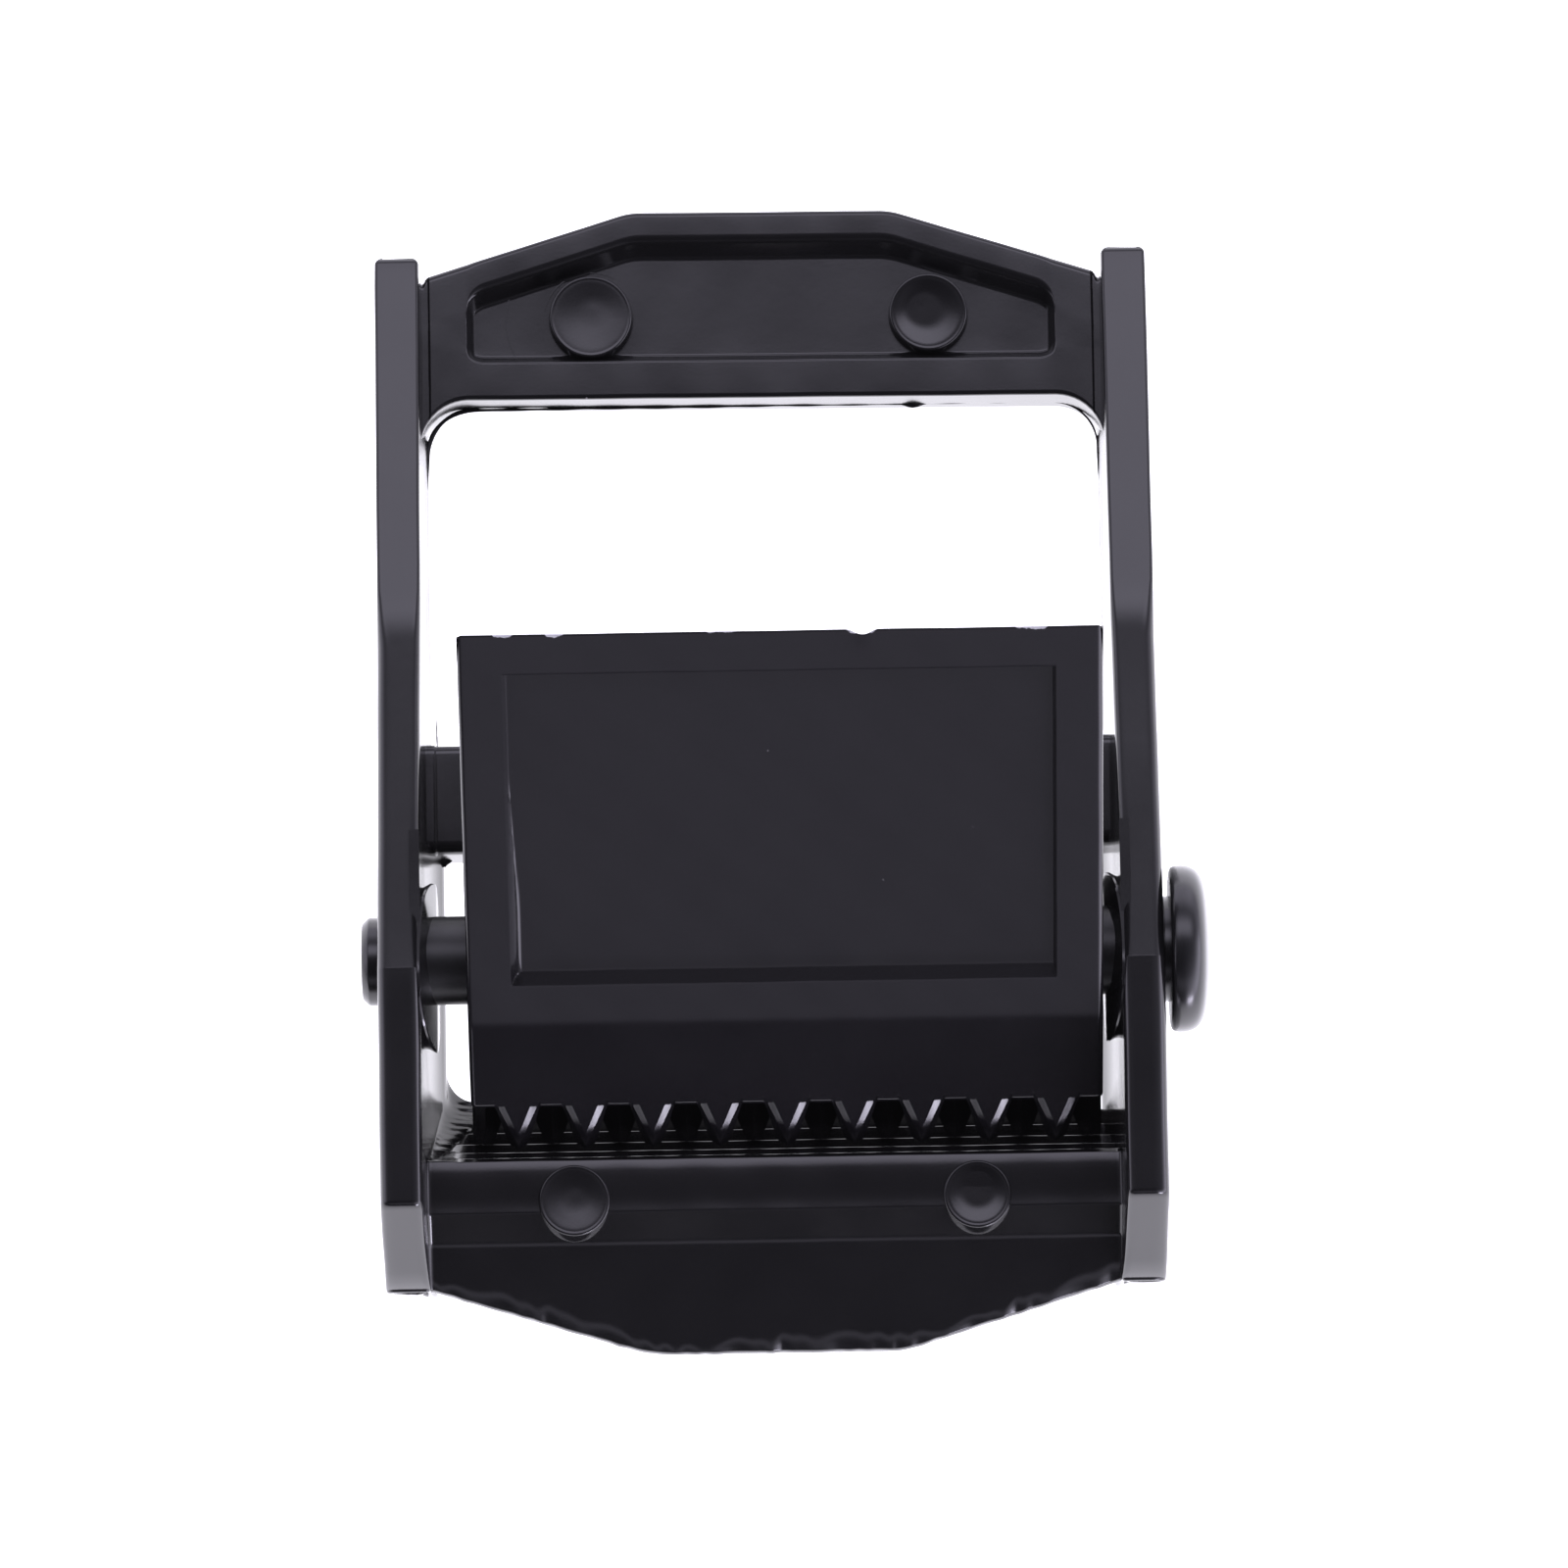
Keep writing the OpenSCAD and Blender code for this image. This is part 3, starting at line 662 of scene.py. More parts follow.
lever = {
    "half": 12.85, "shift": 0.55, "slope": 34.2, "rise": 3.55, "thick": 2.7, "start": -1.17, "length": 17.5,
    "faceSlope": 42, "hub": 3.2, "edge": 0.22, "tipRound": 0.13,
    "panelLeft": 1.8, "panelRight": 1.87, "panelEnds": 1.8, "panelDepth": 0.65, "panelCorner": 0.03,
    "sideRun": 0.12, "farRun": 0.1, "nearRun": 0.3,
    "leftFillet": 0.9, "leftSpread": 0.12, "filletFrom": 7.5, "filletOver": 4.5,
    "pitch": 2.74, "tipR": 7.9, "rootR": 6.0,
    "toothRoot": 0.92, "toothTip": 0.42, "lowerRoot": 1.1, "lowerTip": 0.3,
    "faceHalf": 0.51, "faceTaper": 0.351, "bevelHalf": 0.81, "bevelTaper": 0.397, "bevelDrop": 0.067,
    "toothEdge": 0.04, "plainEdge": 0.14, "split": 24, "splitFall": 4, "teethEnd": 41,
    "slotHalf": 2.3, "slotR": 2.62, "slotEnd": 8.0,
    "chipLean": 0.3,
    "chips": [  # middle and half width along X at rest, and how far each reaches from the plate's far edge
        (-10.43, 0.48, 0.165), (-8.38, 0.45, 0.187), (-1.72, 0.78, 0.088), (3.84, 0.7, 0.231),
        (10.58, 0.75, 0.165),
    ],
    "dentAt": 3.84, "dentHalf": 0.62, "dentDeep": 0.2, "dentReach": 0.5,
}


def onPlate(along, above):
    # Point measured along the thumb plate from the pin's axis, and square off it
    s, c = math.sin(math.radians(lever["slope"])), math.cos(math.radians(lever["slope"]))
    along, above = np.broadcast_arrays(np.asarray(along, float), np.asarray(above, float))
    return pair(along * c - above * s, along * s + above * c)


def faceReach(r):
    # Way down the front face from the crease to distance r from the pin: root of |crease + q down| = r
    crease = onPlate(lever["start"], lever["rise"])
    f = math.radians(lever["faceSlope"])
    down = np.array([-math.cos(f), -math.sin(f)])
    b = float(crease @ down)
    return -b + np.sqrt(b * b - float(crease @ crease) + np.asarray(r, float) ** 2), crease, down


def toothReach(x, offset, count, rootHalf, tipHalf):
    # Distance of the toothed face from the pin: pointed teeth a pitch apart, corners rounded
    i = np.clip(np.round(x / lever["pitch"] - offset), -count, count - (1 if offset else 0))
    away = np.abs(x - (i + offset) * lever["pitch"])
    height = lever["tipR"] - lever["rootR"]
    return lever["rootR"] + height * ramp((rootHalf - away) / (rootHalf - tipHalf), 0.05)


def leverColumns():
    # X of each column: one set repeated at every tooth, and more at the panel's walls and the slot's sides
    half, p = lever["half"], lever["pitch"]
    d = spaced((0, 0.2, 3), (0.2, 0.95, 18), (0.95, p / 2, 5))
    whole = np.concatenate([-d[:0:-1], d[:-1]])
    x = np.concatenate([whole + i * p for i in range(-5, 6)])
    x = x[np.abs(x) < half - lever["edge"] - 0.05]
    left, right, run = half - lever["panelLeft"], half - lever["panelRight"], lever["sideRun"]
    x = np.unique(np.round(np.concatenate([
        x, -spaced((left - 1.0, left - run, 14), (left - run, left, 5), (left, left + 0.12, 2)),
        spaced((right - 0.5, right - run, 3), (right - run, right, 5), (right, right + 0.12, 2)),
        [half - lever["edge"], -half + lever["edge"]],
    ]), 4))
    slot = np.array([lever["slotHalf"], lever["slotHalf"] - 0.002])
    x = x[np.min(np.abs(np.abs(x)[:, None] - slot), 1) > 0.02]
    keep = np.concatenate([[True], np.diff(x) > 0.012])
    return np.sort(np.concatenate([x[keep], slot, -slot]))


def panelSunk(x, away):
    # How far the panel is sunk, 0 to 1, at each X and at a distance from the plate's tip. The left wall's
    # foot opens into a wide fillet towards the cam.
    corner = lever["panelCorner"]
    far = ramp((away - lever["panelEnds"]) / lever["farRun"], corner)
    near = ramp((lever["length"] - away - lever["panelEnds"]) / lever["nearRun"], corner)
    opened = float(ramp((away - lever["filletFrom"]) / lever["filletOver"]))
    leftRun = lever["sideRun"] + lever["leftSpread"] * opened
    leftAt, rightAt = x + lever["half"] - lever["panelLeft"], lever["half"] - lever["panelRight"] - x
    left = ramp(leftAt / leftRun, corner, corner + lever["leftFillet"] * opened)
    return np.minimum(np.minimum(left, ramp(rightAt / lever["sideRun"], corner)), np.minimum(far, near))


def faceLoops(x, upper):
    # Front face column by column: its level part narrows down each tooth to faceHalf - faceTaper q, q the
    # way down from the notches' edge. Beside it lies a shallow bevel to bevelHalf - bevelTaper q, and from
    # there the tooth falls away at 45 degrees. Between teeth the face ends in a plain rounded edge.
    reach, crease, down = faceReach(upper)
    top = float(faceReach(lever["rootR"])[0])
    under = np.array([down[1], -down[0]])
    faceHalf, bevelHalf, drop = lever["faceHalf"], lever["bevelHalf"], lever["bevelDrop"]
    away = np.abs(x - lever["pitch"] * np.round(x / lever["pitch"]))
    plain = ramp((away - 0.84) / 0.1)
    beside = away > bevelHalf
    levelTo = top + np.maximum(faceHalf - away, 0) / lever["faceTaper"]
    bevelTo = top + 0.015 + np.maximum(bevelHalf - away, 0) / lever["bevelTaper"]
    last = drop + np.maximum(away - bevelHalf + lever["bevelTaper"] * (reach - top), 0)
    zero = 0 * x
    stops = [  # way down the face, how deep under it, reach and steps of the corner there
        (0.28 * top + zero, zero, 0, 0), (0.56 * top + zero, zero, 0, 0), (top - 0.04 + zero, zero, 0, 0),
        (levelTo, drop * np.clip(1 + (away - bevelHalf) / (bevelHalf - faceHalf), 0, 1), 0.02, 2),
        (np.where(beside, 0.6 * top + 0.4 * reach, bevelTo), np.where(beside, 0.6 * drop + 0.4 * last, drop),
         0.02, 2),
    ]
    corners = []
    for i, (way, deep, corner, steps) in enumerate(stops):
        way = (1 - plain) * way + plain * (top - 0.36 + 0.015 * (i - 2)) if i > 1 else way
        corners.append((crease + way[:, None] * down - ((1 - plain) * deep)[:, None] * under, corner, steps))
    foot = crease + reach[:, None] * down - ((1 - plain) * last)[:, None] * under
    return corners, foot, lever["toothEdge"] + (lever["plainEdge"] - lever["toothEdge"]) * plain, crease


def leverLoops(x):
    # Outline at X round the pin's axis: the crease, the front face, the upper teeth, at the angle split the
    # step to the lower teeth, the hub or the spring's slot, the underside and the tip. The plate's top comes
    # last, panelDepth times panelSunk(X, way from the tip) lower.
    upper = toothReach(x, 0, 4, lever["toothRoot"], lever["toothTip"])
    lower = toothReach(x, 0.5, 5, lever["lowerRoot"], lever["lowerTip"])
    face, foot, footRound, crease = faceLoops(x, upper)
    aside = np.abs(x - lever["pitch"] * (np.floor(x / lever["pitch"]) + 0.5))
    split = lever["split"] + lever["splitFall"] * np.minimum(aside, lever["lowerRoot"])
    start, footR = np.degrees(np.arctan2(-foot[:, 1], -foot[:, 0])), np.linalg.norm(foot, axis=1)
    hubR, slotR, slotEnd, rootR, end = (lever[k] for k in ("hub", "slotR", "slotEnd", "rootR", "teethEnd"))
    low, tip = lever["rise"] - lever["thick"], lever["start"] + lever["length"]
    inSlot = (np.abs(x) < lever["slotHalf"] - 0.001)[:, None]

    corners = [(crease, 0.3, 6)] + face + [(foot, footRound, 5)]
    corners += [(polar(footR, 180 + start + f * (split - start)), 0, 0) for f in (0.3, 0.5, 0.7, 0.85, 1)]
    corners += [(polar(lower, 180 + split + f * (end - split)), 0, 0) for f in (0, 0.25, 0.5, 0.75)]
    corners.append((polar(lower, 180 + end), 0.1, 3))
    corners.append((polar(rootR - 0.05 + 0 * x, 180.2 + end), 0.1, 2))
    hub = polar(hubR, np.linspace(262, 400, 18))
    slot = np.concatenate([polar(hubR, np.array([262, 268])), polar(slotR, np.linspace(268, 125.7, 16))])
    corners += [(np.where(inSlot, b, a), 0, 0) for a, b in zip(hub, slot)]
    underHub = onPlate(math.sqrt(hubR ** 2 - low ** 2), low)
    corners.append((np.where(inSlot, onPlate(slotEnd, slotR), underHub), 0.15, 3))
    corners.append((np.where(inSlot, onPlate(slotEnd + 0.05, low), underHub + onPlate(1, 0) * 0.6), 0.05, 2))
    corners.append((onPlate(tip - lever["thick"] * math.tan(math.radians(lever["slope"])), low), 0.6, 6))
    corners.append((onPlate(tip, lever["rise"]), lever["tipRound"], 9))

    m, length = lever["panelEnds"], lever["length"]
    far, near = lever["farRun"], lever["nearRun"]
    farWall = spaced((m - 0.1, m, 2), (m, m + far, 3), (m + far, m + far + 0.1, 2))
    nearWall = length - spaced((m - 0.1, m, 2), (m, m + near, 5), (m + near, m + near + 0.1, 2))[::-1]
    for a in np.concatenate([
        spaced((0.45, m - 0.2, 5)), farWall, spaced((m + 0.9, length - m - 0.9, 26)), nearWall,
        length - spaced((0.45, m - 0.2, 4))[::-1],
    ]):
        corners.append((onPlate(tip - a, lever["rise"] - lever["panelDepth"] * panelSunk(x, a)), 0, 0))
    return roundedLoops(corners, len(x))


def dented(points):
    # Points near the plate's far corner moved back where it was knocked: a bell along X and off the corner
    corner = onPlate(lever["start"] + lever["length"], lever["rise"]) + np.array([pin["y"], pin["z"]])
    off = np.hypot(points[:, 1] - corner[0], points[:, 2] - corner[1])
    dent = lever["dentDeep"] * bell((points[:, 0] - lever["dentAt"]) / lever["dentHalf"])
    dent = dent * np.exp(-(off / lever["dentReach"]) ** 2)
    return points - dent[:, None] * np.array([0, 1.0, 0.6])


def buildLever():
    x, half, edge = leverColumns(), lever["half"], lever["edge"]
    loops = leverLoops(x)
    first, last, firstX, lastX = roundedEnds(loops, -half, half, edge, edge, 5)
    points, faces = tube(carried(np.concatenate([first, loops, last]), np.concatenate([firstX, x, lastX])))
    points = dented(points + np.array([lever["shift"], pin["y"], pin["z"]]))
    return pieceFrom("camLever", [(points, faces)], meshing["waves"])


# Shader helpers

def addNode(tree, kind, label, **inputs):
    # A node with its named sockets set, an underscore standing for a space
    node = tree.nodes.new(kind)
    node.name = node.label = label
    for key, value in inputs.items():
        node.inputs[key.replace("_", " ")].default_value = value
    return node


def newMaterial(name):
    # A material with its tree, its shader and the place on the object
    material = bpy.data.materials.new(name)
    material.use_nodes = True
    tree = material.node_tree
    place = tree.nodes.new("ShaderNodeTexCoord").outputs["Object"]
    return material, tree, tree.nodes["Principled BSDF"], place


def bumpOf(tree, height, distance, shader):
    bump = addNode(tree, "ShaderNodeBump", "bump", Strength=1.0, Distance=distance)
    tree.links.new(height, bump.inputs["Height"])
    tree.links.new(bump.outputs["Normal"], shader.inputs["Normal"])


def noiseOf(tree, vector, scale, detail, rough, label):
    node = addNode(tree, "ShaderNodeTexNoise", label, Scale=scale, Detail=detail, Roughness=rough)
    tree.links.new(vector, node.inputs["Vector"])
    return node.outputs["Fac"]


def setOrLink(tree, socket, value):
    if isinstance(value, (int, float, tuple)):
        socket.default_value = value
    elif value is not None:
        tree.links.new(value, socket)


def mathOf(tree, operation, a, b, label, clamp=False):
    node = addNode(tree, "ShaderNodeMath", label)
    node.operation, node.use_clamp = operation, clamp
    for socket, value in zip(node.inputs, (a, b)):
        setOrLink(tree, socket, value)
    return node.outputs[0]


def rangeOf(tree, value, low, high, toLow, toHigh, label):
    ends = {"From_Min": low, "From_Max": high, "To_Min": toLow, "To_Max": toHigh}
    node = addNode(tree, "ShaderNodeMapRange", label, **ends)
    tree.links.new(value, node.inputs["Value"])
    return node.outputs["Result"]


def mixOf(tree, amount, a, b, label):
    node = addNode(tree, "ShaderNodeMix", label)
    node.data_type = "RGBA"
    for key, value in (("Factor", amount), ("A", a), ("B", b)):
        setOrLink(tree, node.inputs[key], value)
    return node.outputs["Result"]


def rampOf(tree, value, stops, label):
    # Grey colour ramp through (position 0 to 1, value 0 to 1) stops
    node = addNode(tree, "ShaderNodeValToRGB", label)
    elements = node.color_ramp.elements
    while len(elements) < len(stops):
        elements.new(0.5)
    for element, (at, level) in zip(elements, stops):
        element.position, element.color = at, (level, level, level, 1)
    tree.links.new(value, node.inputs["Fac"])
    return node.outputs["Color"]


def coatGroup():
    # Black coat on a casting: height of its peel and grain, how its gloss varies, and dust lying on it
    group = bpy.data.node_groups.new("blackCoat", "ShaderNodeTree")
    group.interface.new_socket("Position", in_out="INPUT", socket_type="NodeSocketVector")
    inputs = {"Peel per metre": 900.0, "Grain per metre": 9000.0, "Grain share": 0.3, "Dust": 0.02}
    for label, value in inputs.items():
        socket = group.interface.new_socket(label, in_out="INPUT", socket_type="NodeSocketFloat")
        socket.default_value = value
    for label in ("Height", "Gloss change", "Dust mask", "Mottle"):
        group.interface.new_socket(label, in_out="OUTPUT", socket_type="NodeSocketFloat")
    source, sink = group.nodes.new("NodeGroupInput"), group.nodes.new("NodeGroupOutput")
    place = source.outputs["Position"]

    def noise(scaleSocket, times, detail, label):
        node = addNode(group, "ShaderNodeTexNoise", label, Detail=detail, Roughness=0.55)
        group.links.new(place, node.inputs["Vector"])
        group.links.new(mathOf(group, "MULTIPLY", scaleSocket, times, label + " scale"), node.inputs["Scale"])
        return node.outputs["Fac"]

    peel = noise(source.outputs["Peel per metre"], 1.0, 2.0, "peel")
    grain = noise(source.outputs["Grain per metre"], 1.0, 3.0, "grain")
    mottle = noise(source.outputs["Peel per metre"], 0.35, 4.0, "mottle")
    share = source.outputs["Grain share"]
    height = mathOf(group, "ADD", peel, mathOf(group, "MULTIPLY", grain, share, "grain part"), "height")
    cells = addNode(group, "ShaderNodeTexVoronoi", "dust cells", Scale=1100.0)
    group.links.new(place, cells.inputs["Vector"])
    chance = addNode(group, "ShaderNodeSeparateColor", "chance")
    group.links.new(cells.outputs["Color"], chance.inputs["Color"])
    lucky = mathOf(group, "LESS_THAN", chance.outputs["Red"], source.outputs["Dust"], "has dust")
    size = rangeOf(group, chance.outputs["Green"], 0.0, 1.0, 0.02, 0.06, "dust size")
    near = mathOf(group, "LESS_THAN", cells.outputs["Distance"], size, "near dust")
    dust = mathOf(group, "MULTIPLY", lucky, near, "dust")
    for label, value in (("Height", height), ("Dust mask", dust), ("Mottle", mottle),
                         ("Gloss change", rangeOf(group, mottle, 0.3, 0.7, -0.012, 0.02, "gloss change"))):
        group.links.new(value, sink.inputs[label])
    return group


coats = {
    "frameCoat": {"color": (0.0072, 0.0070, 0.0077, 1), "rough": 0.165, "bump": 0.0000028,
                  "Peel per metre": 800.0, "Grain per metre": 9000.0, "Grain share": 0.4, "Dust": 0.05},
    "leverCoat": {"color": (0.0074, 0.0069, 0.0084, 1), "rough": 0.165, "bump": 0.0000019,
                  "Peel per metre": 700.0, "Grain per metre": 9000.0, "Grain share": 0.35, "Dust": 0.03},
    "rivetCoat": {"color": (0.0076, 0.0076, 0.0082, 1), "rough": 0.24, "bump": 0.0000015, "shankRough": 0.16,
                  "Peel per metre": 1300.0, "Grain per metre": 12000.0, "Grain share": 0.2, "Dust": 0.008},
}
paintedCoatGlow = 0.0016  # painted light: a faint glow in the coat's emission, so its deepest shadows are never fully black
dustColor = (0.22, 0.215, 0.22, 1)
zincColor = (0.5, 0.5, 0.52, 1)


def chipMask(tree, place):
    # Bare metal at the thumb plate's far edge: 1 where the level way back from that edge, plus part of the
    # way down, is under a depth that varies along X and is frayed by noise
    split = addNode(tree, "ShaderNodeSeparateXYZ", "chip place")
    tree.links.new(place, split.inputs[0])
    edge = onPlate(lever["start"] + lever["length"], lever["rise"]) + np.array([pin["y"], pin["z"]])
    lean = lever["chipLean"]
    down = mathOf(tree, "MULTIPLY", split.outputs["Z"], lean, "part of Z")
    reached = mathOf(tree, "ADD", split.outputs["Y"], down, "Y and part of Z")
    way = mathOf(tree, "SUBTRACT", float(edge[0] + lean * edge[1]) * mm, reached, "way from the edge")
    x0, width = (lever["shift"] - lever["half"]) * mm, 2 * lever["half"] * mm
    fromLeft = mathOf(tree, "SUBTRACT", split.outputs["X"], x0, "from the left")
    across = mathOf(tree, "DIVIDE", fromLeft, width, "across")
    deepest = max(deep for _, _, deep in lever["chips"])
    stops = [(0.0, 0.0)]
    for at, half, deep in lever["chips"]:
        middle, reach, share = (at * mm - x0) / width, half * mm / width, deep / deepest
        shape = ((-1, 0.0), (-0.7, share), (0.6, share), (1, 0.0))
        stops += [(middle + f * reach, level) for f, level in shape]
    depth = rampOf(tree, across, stops + [(1.0, 0.0)], "chips along the edge")
    depth = mathOf(tree, "MULTIPLY", depth, deepest * mm, "chip depth")
    fray = rangeOf(tree, noiseOf(tree, place, 2600.0, 3.0, 0.6, "fray"), 0.3, 0.7, 0.45, 1.25, "fray range")
    frayed = mathOf(tree, "MULTIPLY", depth, fray, "frayed depth")
    inside = mathOf(tree, "SUBTRACT", frayed, way, "inside the chip")
    return rangeOf(tree, inside, 0.0, 0.00003, 0.0, 1.0, "bare metal")


def coatMaterial(name, group, chips=False):
    # The coat's group in a glossy shader, with bare zinc in the chips or a duller shank where asked for, and
    # a faint painted glow that lifts the coat's shadows
    facts = coats[name]
    material, tree, shader, place = newMaterial(name)
    coat = tree.nodes.new("ShaderNodeGroup")
    coat.node_tree, coat.label = group, "black coat"
    tree.links.new(place, coat.inputs["Position"])
    for label in ("Peel per metre", "Grain per metre", "Grain share", "Dust"):
        coat.inputs[label].default_value = facts[label]

    def rougher(before, mask, amount, label):
        more = mathOf(tree, "MULTIPLY", mask, amount, label)
        return mathOf(tree, "ADD", before, more, "with " + label, True)

    dark = tuple(0.85 * v for v in facts["color"][:3]) + (1,)
    color = mixOf(tree, coat.outputs["Mottle"], dark, facts["color"], "mottled black")
    color = mixOf(tree, coat.outputs["Dust mask"], color, dustColor, "dust on it")
    rough = mathOf(tree, "ADD", coat.outputs["Gloss change"], facts["rough"], "rough")
    rough = rougher(rough, coat.outputs["Dust mask"], 0.4, "dull dust")
    if chips:
        bare = chipMask(tree, place)
        color = mixOf(tree, bare, color, zincColor, "zinc in the chips")
        rough = rougher(rough, bare, 0.3, "rough chips")
    if "shankRough" in facts:
        split = addNode(tree, "ShaderNodeSeparateXYZ", "along the pin")
        tree.links.new(place, split.inputs[0])
        aside = mathOf(tree, "ABSOLUTE", split.outputs["X"], None, "aside")
        between = mathOf(tree, "LESS_THAN", aside, cheek["inner"] * mm, "between the cheeks")
        rough = rougher(rough, between, facts["shankRough"], "dull shank")
    tree.links.new(color, shader.inputs["Base Color"])
    tree.links.new(rough, shader.inputs["Roughness"])
    bumpOf(tree, coat.outputs["Height"], facts["bump"], shader)
    # the emission is painted light: a faint even glow that lifts the coat's shadows
    for label, value in (("IOR", 1.5), ("Specular IOR Level", 0.5), ("Emission Strength", paintedCoatGlow),
                         ("Emission Color", (1.0, 0.97, 1.1, 1))):
        shader.inputs[label].default_value = value
    return material


wire = {
    "color": (0.46, 0.46, 0.48, 1), "tarnish": (0.3, 0.29, 0.28, 1), "rough": (0.18, 0.36), "streaks": 2500.0,
    "bump": 0.000004,
}


def wireMaterial():
    # Bright drawn wire: fine streaks and slight tarnish
    material, tree, shader, place = newMaterial("springSteel")
    streaks = noiseOf(tree, place, wire["streaks"], 3.0, 0.6, "tarnish")
    tree.links.new(mixOf(tree, streaks, wire["tarnish"], wire["color"], "steel"), shader.inputs["Base Color"])
    tree.links.new(rangeOf(tree, streaks, 0.2, 0.8, *wire["rough"], "rough"), shader.inputs["Roughness"])
    shader.inputs["Metallic"].default_value = 1.0
    bumpOf(tree, streaks, wire["bump"], shader)
    return material


# Pieces, their bodies and their finishes

castFrame = buildFrame()
pivotRivet = buildRivet()
returnSpring, coilStart, coilEnd = buildSpring(lever["shift"])
camLever = buildLever()

blackCoat = coatGroup()
castFrame.data.materials.append(coatMaterial("frameCoat", blackCoat))
camLever.data.materials.append(coatMaterial("leverCoat", blackCoat, chips=True))
pivotRivet.data.materials.append(coatMaterial("rivetCoat", blackCoat))
returnSpring.data.materials.append(wireMaterial())

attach(castFrame, "frame_body")
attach(pivotRivet, "frame_body")
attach(camLever, "lever_body")
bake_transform(returnSpring)
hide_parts("frame")
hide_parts("pivot_pin")
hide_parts("cam_lever")
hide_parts("torsion_spring")
print("pieces and finishes done")


# Stage: a glowing pale floor, soft lights and the camera

studio = {
    "floorHalf": 2.0, "floorTint": (1, 0.985, 1.06, 1),
    "nearGlow": 2.0, "farGlow": 1.05, "nearR": 0.045, "farR": 0.12,
    "skyTint": (1, 0.96, 1.17, 1), "skyTop": 2.6, "skyHalf": (0.4, 0.75),
    "sky": [  # lean from the vertical towards +Y in degrees, and the brightness there
        (-84, 0.02), (-76, 0.02), (-71, 0.08), (-67, 0.24), (-62, 0.46), (-58, 0.62), (-54, 0.58), (-49, 0.2),
        (-45, 0.07), (-41, 0.05), (-20, 0.05), (0, 0.1), (5, 0.16), (8, 0.3), (11, 0.85), (14, 1.7),
        (18, 2.5), (28, 2.6), (33, 1.9), (38, 0.9), (42, 0.47), (50, 0.4), (58, 1.2), (66, 1.9), (90, 1.9),
    ],
    "sideTop": 4.5,
    "side": [  # azimuth from +X towards +Y in degrees, and the brightness of the glow near the horizon there
        (-180, 2.2), (-165, 1.0), (-150, 0.15), (-125, 0.0), (-110, 0), (-80, 0), (-68, 2), (-55, 3.5),
        (-40, 4.5), (0, 4.5), (6, 4.0), (12, 2.0), (25, 1.6), (40, 1.4), (60, 0.5), (80, 0), (110, 0),
        (130, 0.8), (150, 1.8), (180, 2.2),
    ],
    "sideRise": [  # sine of the elevation, and the share of the glow there
        (0, 1), (0.25, 0.9), (0.45, 0.45), (0.65, 0.15), (0.85, 0.05), (1, 0),
    ],
    "cards": [  # name, azimuth, elevation, way off, width, height, radiance
        ("frontStrip", -67, 3, 0.5, 0.14, 0.08, 20.0),
    ],
    "lens": 243.25, "from": (0, -0.139, 0.990), "target": (0.00065, 0, 0.003), "away": 0.435, "roll": -0.95,
}


def glowingFloor():
    # The light it gives off falls from nearGlow inside nearR to farGlow past farR
    size, z = studio["floorHalf"], -5e-5
    mesh = bpy.data.meshes.new("studioFloor")
    corners = [(x * size, y * size, z) for x, y in ((-1, -1), (1, -1), (1, 1), (-1, 1))]
    mesh.from_pydata(corners, [], [(0, 1, 2, 3)])
    floor = bpy.data.objects.new("studioFloor", mesh)
    bpy.context.collection.objects.link(floor)
    material, tree, shader, place = newMaterial("paleFloor")
    shader.inputs["Base Color"].default_value = (0.8, 0.8, 0.8, 1)
    shader.inputs["Roughness"].default_value = 0.9
    shader.inputs["Emission Color"].default_value = studio["floorTint"]
    length = tree.nodes.new("ShaderNodeVectorMath")
    length.operation = "LENGTH"
    tree.links.new(place, length.inputs[0])
    ends = (studio[key] for key in ("nearR", "farR", "nearGlow", "farGlow"))
    tree.links.new(rangeOf(tree, length.outputs["Value"], *ends, "glow"), shader.inputs["Emission Strength"])
    mesh.materials.append(material)


def lightCards():
    # Upright cards round the object, each facing it
    for name, azimuth, elevation, away, width, height, radiance in studio["cards"]:
        a, b = math.radians(azimuth), math.radians(elevation)
        data = bpy.data.lights.new(name, "AREA")
        data.shape, data.size, data.size_y = "RECTANGLE", width, height
        data.energy = radiance * math.pi * width * height
        data.color = studio["skyTint"][:3]
        light = bpy.data.objects.new(name, data)
        light.location = away * Vector((math.cos(a) * math.cos(b), math.sin(a) * math.cos(b), math.sin(b)))
        light.rotation_mode = "QUATERNION"
        light.rotation_quaternion = Vector(light.location).to_track_quat("Z", "Y")
        bpy.context.collection.objects.link(light)


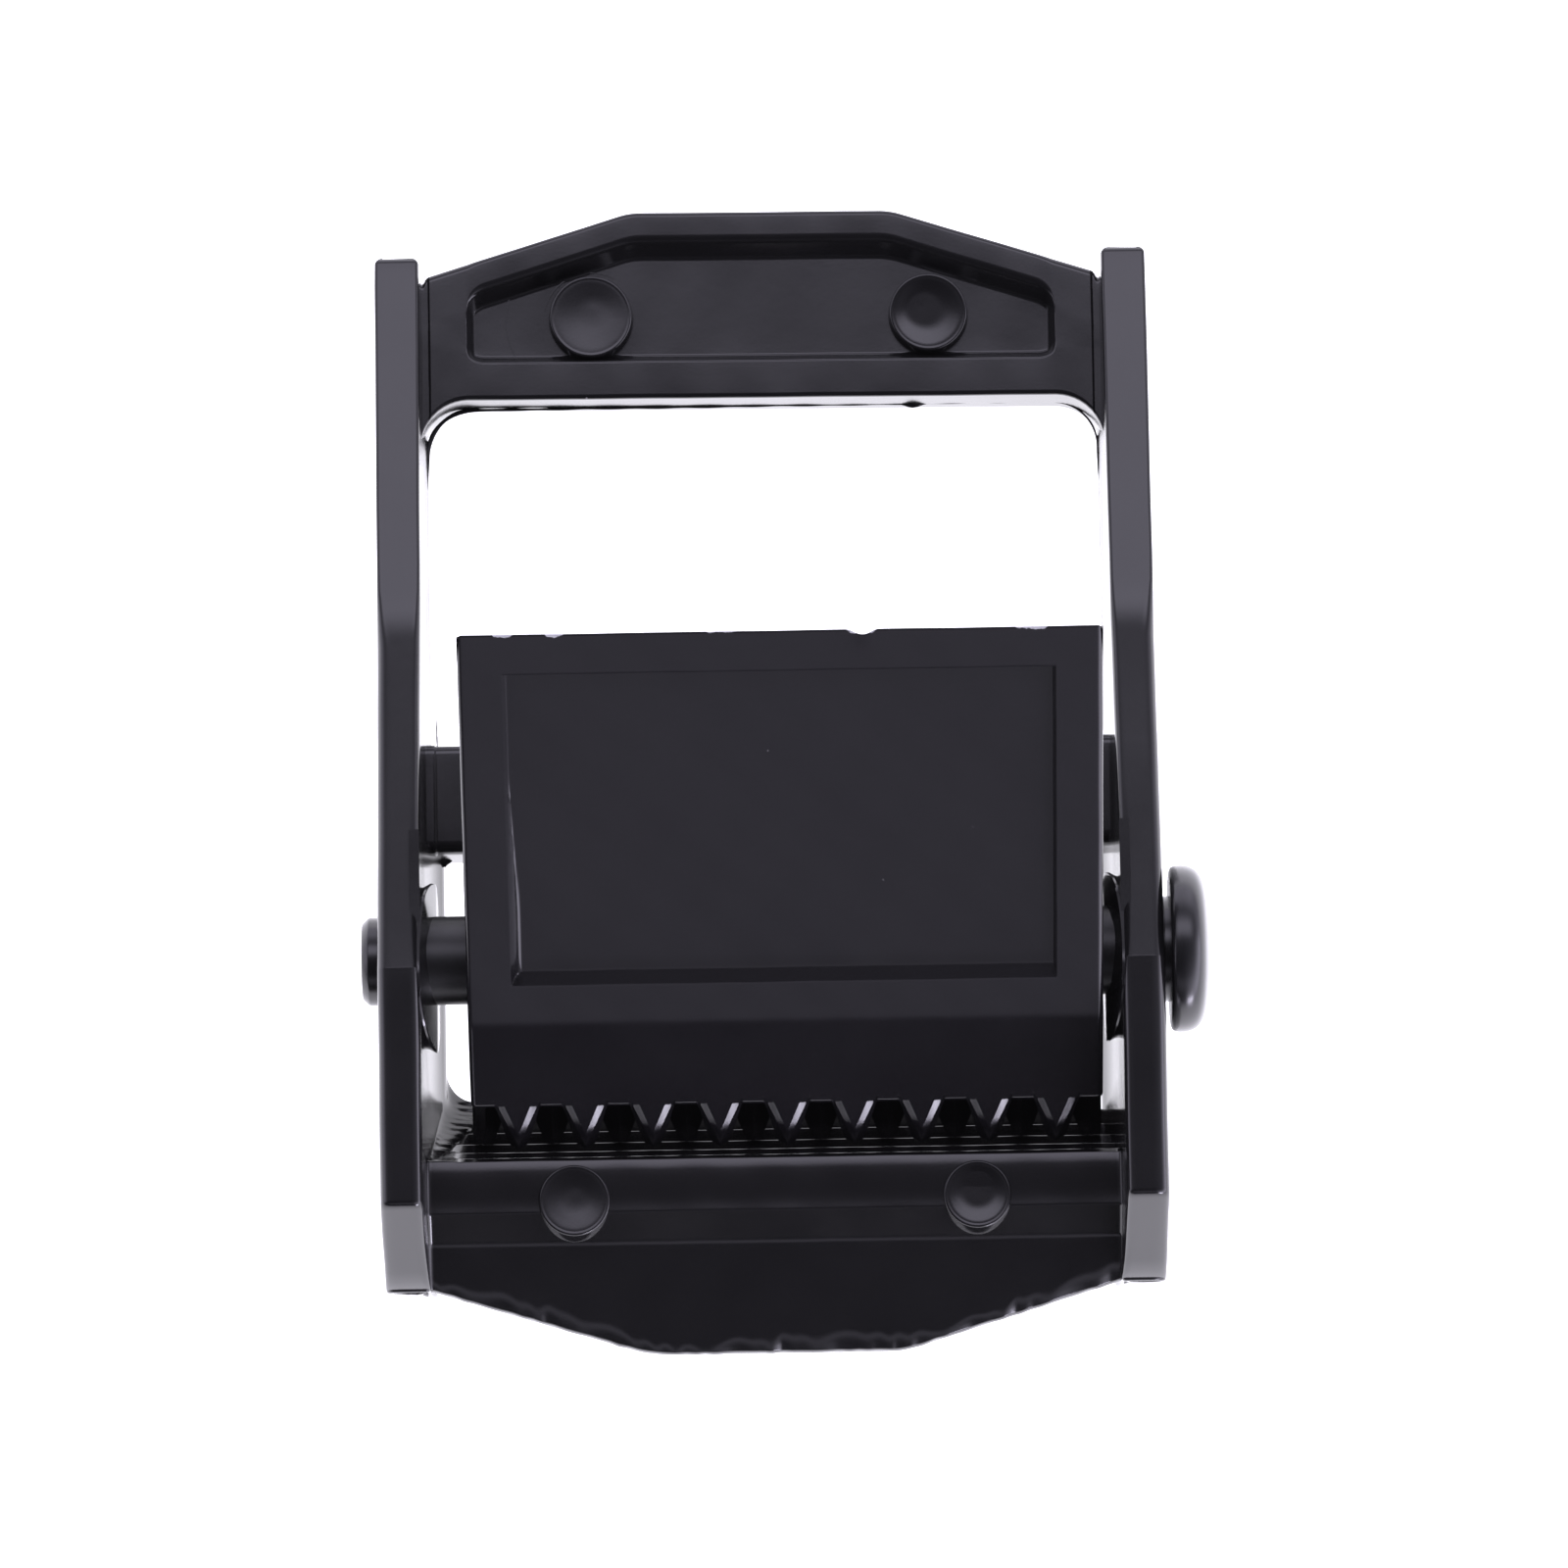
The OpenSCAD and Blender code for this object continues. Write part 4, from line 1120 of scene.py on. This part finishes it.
def studioWorld():
    # White behind the object. In reflections a dark room. A broad soft box hangs over the webbing bar's end:
    # its brightness follows the lean of the direction in (Y, Z) and falls off to both sides. Windows glow low
    # down all round, by azimuth, and fade upwards.
    world = bpy.data.worlds.new("studioRoom")
    bpy.context.scene.world = world
    world.use_nodes = True
    tree = world.node_tree
    room = tree.nodes["Background"]
    split = tree.nodes.new("ShaderNodeSeparateXYZ")
    tree.links.new(tree.nodes.new("ShaderNodeTexCoord").outputs["Generated"], split.inputs[0])
    x, y, z = (split.outputs[key] for key in "XYZ")

    def around(a, b, key, most, label):
        # Brightness by the angle from b towards a, through the stops in degrees
        angle = mathOf(tree, "ARCTAN2", a, b, label)
        angle = rangeOf(tree, angle, -math.pi, math.pi, 0.0, 1.0, label + " round")
        stops = [((at + 180) / 360, share / studio[most]) for at, share in studio[key]]
        return mathOf(tree, "MULTIPLY", rampOf(tree, angle, stops, key), studio[most], label + " light")

    fade = rangeOf(tree, mathOf(tree, "ABSOLUTE", x, None, "sideways"), *studio["skyHalf"], 1.0, 0.0, "fade")
    softBox = mathOf(tree, "MULTIPLY", around(y, z, "sky", "skyTop", "lean"), fade, "soft box")
    rise = rampOf(tree, z, studio["sideRise"], "rise")
    glow = mathOf(tree, "MULTIPLY", around(y, x, "side", "sideTop", "azimuth"), rise, "glow")
    tree.links.new(mathOf(tree, "ADD", softBox, glow, "room"), room.inputs["Strength"])
    room.inputs["Color"].default_value = studio["skyTint"]
    white = tree.nodes.new("ShaderNodeBackground")
    white.inputs["Color"].default_value = (1, 1, 1, 1)
    path, mix = tree.nodes.new("ShaderNodeLightPath"), tree.nodes.new("ShaderNodeMixShader")
    tree.links.new(path.outputs["Is Camera Ray"], mix.inputs["Fac"])
    tree.links.new(room.outputs[0], mix.inputs[1])
    tree.links.new(white.outputs[0], mix.inputs[2])
    tree.links.new(mix.outputs[0], tree.nodes["World Output"].inputs["Surface"])


def studioCamera():
    # Away from the middle along the direction from, aimed at target and rolled about the line of sight
    data = bpy.data.cameras.new("photoCamera")
    data.lens, data.sensor_width, data.clip_start, data.clip_end = studio["lens"], 36, 0.01, 10
    camera = bpy.data.objects.new("photoCamera", data)
    way = Vector(studio["from"]).normalized() * studio["away"]
    camera.location = Vector((0, 0, studio["target"][2])) + way
    back = (camera.location - Vector(studio["target"])).normalized()
    right = Vector((0, 1, 0)).cross(back).normalized()
    up = back.cross(right)
    roll = math.radians(studio["roll"])
    c, t = math.cos(roll), math.sin(roll)
    facing = Matrix((right * c + up * t, up * c - right * t, back)).transposed()
    camera.matrix_world = Matrix.Translation(camera.location) @ facing.to_4x4()
    bpy.context.collection.objects.link(camera)
    bpy.context.scene.camera = camera


glowingFloor()
lightCards()
studioWorld()
studioCamera()
bpy.context.scene.view_settings.view_transform = "Standard"
print("stage done")
